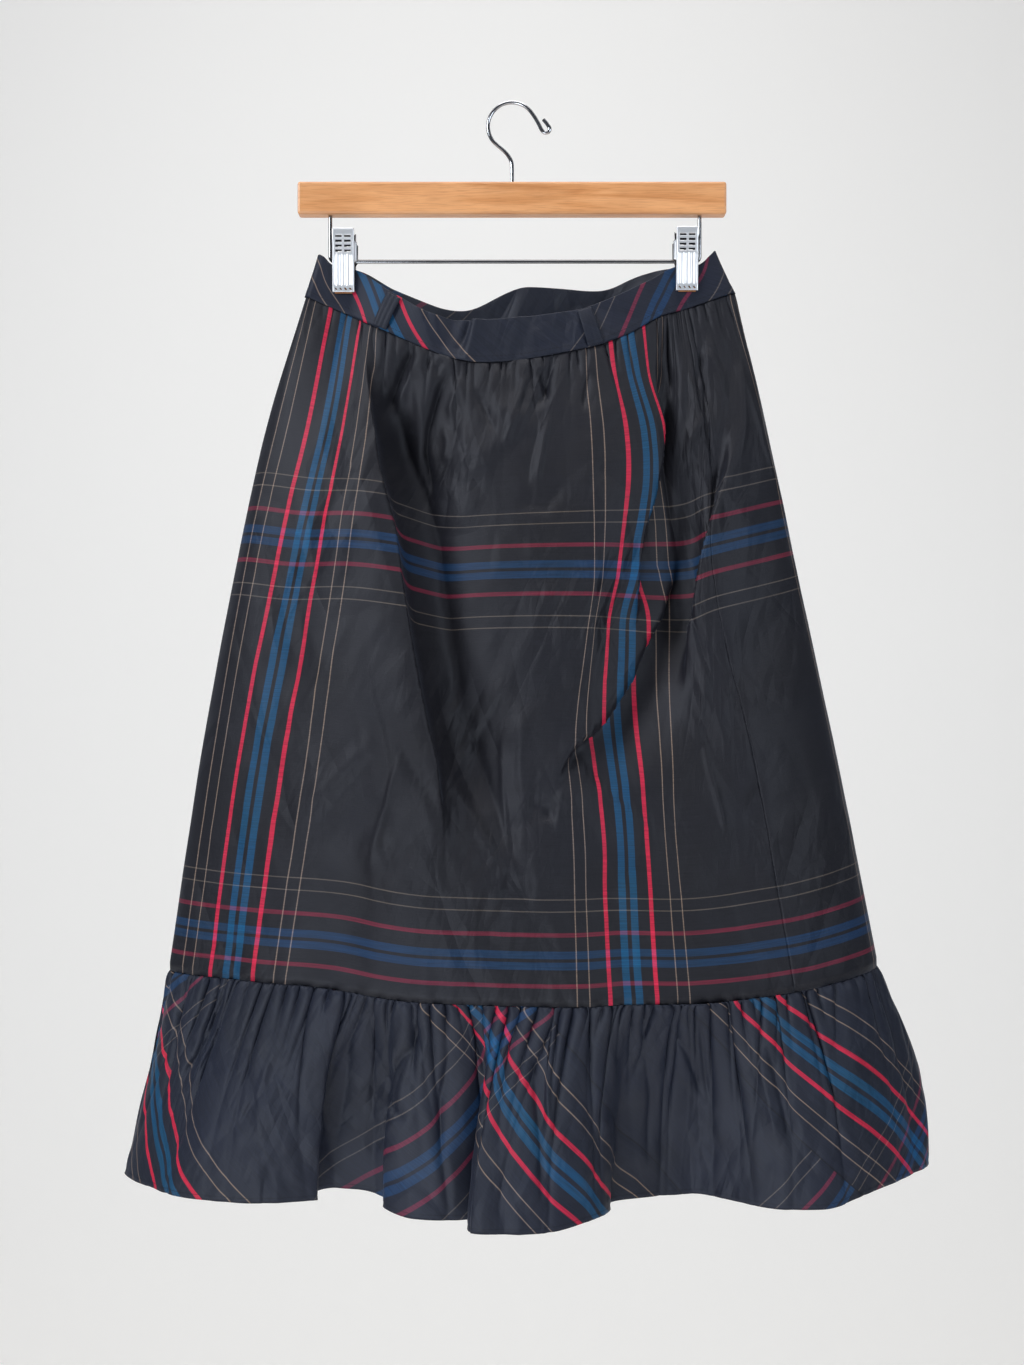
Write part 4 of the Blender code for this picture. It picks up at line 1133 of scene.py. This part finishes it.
def jaw_points(middle, top, side, pinch):
    """A stamped jaw: turned-in sides, flutes and dimples. Rows run down from the top."""
    half = CLIP_WIDTH / 2
    flange = 5.5
    corner = 1.1
    a = np.linspace(-half - flange, half + flange, 89)
    z = np.linspace(0, -CLIP_HEIGHT, 105)
    across, down = np.meshgrid(a, z)
    plate = pinch + PAD + 0.3 + CLIP_SHEET / 2 + JAW_SPREAD * (1 + down / CLIP_HEIGHT)
    lug = smooth((down + 9) / -2) * smooth((28 + down) / 3)
    reach = 2.0 + lug * 3.2
    past = np.clip((np.abs(across) - half + corner) / (flange + corner), 0, 1)
    ear = 2.4 * lug * smooth(past * 2 - 1) * (across * middle < 0)
    x = np.sign(across) * (np.minimum(np.abs(across), half) + ear)
    back = reach * smooth(past * 1.25) * (past > 0)
    fluted = smooth((down + 20.5) / -1.5) * smooth((CLIP_HEIGHT - 4.5 + down) / 1.5)
    ridge = np.cos(across / half * math.pi * 4.0) * (np.abs(across) < half * 0.98)
    lip = smooth((down + 1.6) / 1.6)
    plate = plate + 0.35 * fluted * ridge - 0.5 * lip
    y = side * (plate - back)
    return np.stack([middle + x, y, top + down], axis=-1), half + flange


def build_clip(name, middle, top, chrome, dark, rubber):
    """The two jaws of a clip with their pads, and the spring between them."""
    def solid(across, down):
        """Whether a place on a jaw lies outside its slots and notches."""
        x = (across - 0.5) * 2 * span
        z = -down * CLIP_HEIGHT
        for place in NOTCHES:
            low = CLIP_HEIGHT + z - NOTCH_RISE
            aside = x - place + NOTCH_LEAN * low
            if abs(aside) < NOTCH_WIDTH / 2 and abs(low) < NOTCH_HEIGHT / 2:
                return False
        if abs(abs(x) - SLOT_COLUMN) > SLOT_WIDTH / 2:
            return True
        offset = -z - SLOT_FIRST
        row = round(offset / SLOT_PITCH)
        return row < 0 or row >= SLOT_ROWS or abs(offset - row * SLOT_PITCH) > SLOT_HEIGHT / 2

    for side, label in ((-1, "front"), (1, "back")):
        points, span = jaw_points(middle, top, side, PINCH[label])
        node = "%s_%s" % (name, label)
        jaw = add_piece(node + "_jaw", grid_mesh(node + "_jaw", points[:, ::-side], keep=solid),
                        chrome, node)
        # The jaw's second material is the near-black steel: painted shade on its inner face and
        # cut edges, which darkens the slots, notches and rims.
        jaw.data.materials.append(dark)
        wall = add_wall(jaw, CLIP_SHEET)
        wall.material_offset = 1
        wall.material_offset_rim = 1
        build_pad("%s_pad_%s" % (name, label), rubber)
    reach = CLIP_WIDTH / 2 - COIL_MARGIN
    angles = np.linspace(0, 2 * math.pi * COIL_TURNS, 24 * COIL_TURNS)
    coil = [(middle - reach + 2 * reach * a / angles[-1], COIL_RADIUS * math.cos(a),
             ROD_HEIGHT + COIL_RADIUS * math.sin(a)) for a in angles]
    tube(name + "_coil", coil, COIL_WIRE, dark, name + "_spring", sides=3)


def build_pad(node, rubber):
    """A moulded pad with rounded edges."""
    low, high = (np.array(corner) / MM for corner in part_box(node))
    bm = bmesh.new()
    bmesh.ops.create_cube(bm, size=1.0)
    low[2] -= PAD_LIP
    size = high - low
    bmesh.ops.scale(bm, vec=size * MM, verts=bm.verts)
    bmesh.ops.translate(bm, vec=(low + high) / 2 * MM, verts=bm.verts)
    bmesh.ops.bevel(bm, geom=bm.edges[:], offset=PAD_ROUNDING * MM, segments=3, profile=0.5,
                    affect='EDGES', material=-1)
    mesh = finished(bm, node + "_rubber")
    mesh.shade_smooth()
    mesh.set_sharp_from_angle(angle=math.radians(40))
    add_piece(node + "_rubber", mesh, rubber, node)


def build_stage():
    """A pale backdrop far behind and the floor below."""
    wall = paint_finish("backdrop paint", STAGE_PAINT, STAGE_GLOW)
    for name, place, tilt in STAGE:
        bm = bmesh.new()
        bmesh.ops.create_grid(bm, x_segments=1, y_segments=1, size=STAGE_SIZE / 2)
        mesh = finished(bm, name)
        mesh.materials.append(wall)
        add_object(name, mesh, place, (math.radians(tilt), 0.0, 0.0))


def build_lights():
    """Soft square lamps, in a room that is dark in front and light behind."""
    for name, place, aim, size, power, colour in LAMPS:
        lamp = bpy.data.lights.new(name, 'AREA')
        lamp.shape = 'SQUARE'
        lamp.size = size
        lamp.energy = power
        lamp.color = colour
        x, y, z = np.array(place) - np.array(aim)
        add_object(name, lamp, place, (math.atan2(math.hypot(x, y), z), 0.0,
                                       math.atan2(y, x) + math.pi / 2))
    world = bpy.data.worlds.new("studio")
    world.use_nodes = True
    nodes, links = world.node_tree.nodes, world.node_tree.links
    direction = nodes.new("ShaderNodeTexCoord")
    split = nodes.new("ShaderNodeSeparateXYZ")
    ramp = nodes.new("ShaderNodeValToRGB")
    links.new(direction.outputs["Generated"], split.inputs[0])
    links.new(split.outputs["Y"], ramp.inputs[0])
    links.new(ramp.outputs[0], nodes["Background"].inputs["Color"])
    for element, colour in zip(ramp.color_ramp.elements, (ROOM_IN_FRONT, ROOM_BEHIND)):
        element.color = rgba(colour)
    bpy.context.scene.world = world
    bpy.context.scene.view_settings.view_transform = 'Standard'


def build_camera():
    """A level camera in front of the skirt."""
    camera = bpy.data.cameras.new("camera")
    camera.sensor_fit = 'VERTICAL'
    camera.sensor_height = SENSOR
    camera.lens = FOCAL_PIXELS * SENSOR / IMAGE_HEIGHT
    camera.clip_end = 50.0
    bpy.context.scene.camera = add_object("camera", camera, CAMERA_PLACE,
                                          (math.radians(90), 0.0, 0.0))


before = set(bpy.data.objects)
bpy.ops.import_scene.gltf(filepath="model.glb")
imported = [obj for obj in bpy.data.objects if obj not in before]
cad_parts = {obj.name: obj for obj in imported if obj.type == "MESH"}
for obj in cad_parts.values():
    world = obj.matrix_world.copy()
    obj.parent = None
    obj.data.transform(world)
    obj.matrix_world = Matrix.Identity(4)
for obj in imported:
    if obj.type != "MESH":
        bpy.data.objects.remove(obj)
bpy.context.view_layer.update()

build_stage()
build_lights()
build_camera()
build_panels()
build_flounce()
build_band()
chrome = metal_finish("zinc plate", (0.80, 0.80, 0.82), 0.28, (40, 40, 40), 0.55)
# Near-black steel for the spring's coil, and also the painted shade of the jaws' inner faces and
# cut edges.
dark = metal_finish("steel and painted shade", (0.045, 0.045, 0.05), 0.40, (60, 60, 60))
# The rod gets a darker copy of the hook's wire: painted shade that stands in for the dark room it
# reflects.
build_hook_and_rod(metal_finish("hook wire", (0.50, 0.50, 0.52), 0.14, (60, 60, 60)),
                   metal_finish("rod wire painted dark", (0.33, 0.33, 0.34), 0.06, (60, 60, 60)))
rubber = rubber_finish()
for clip in CLIPS:
    build_clip(*clip, chrome, dark, rubber)
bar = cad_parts["hanger_bar"]
bar.data.materials.clear()
bar.data.materials.append(wood_finish())
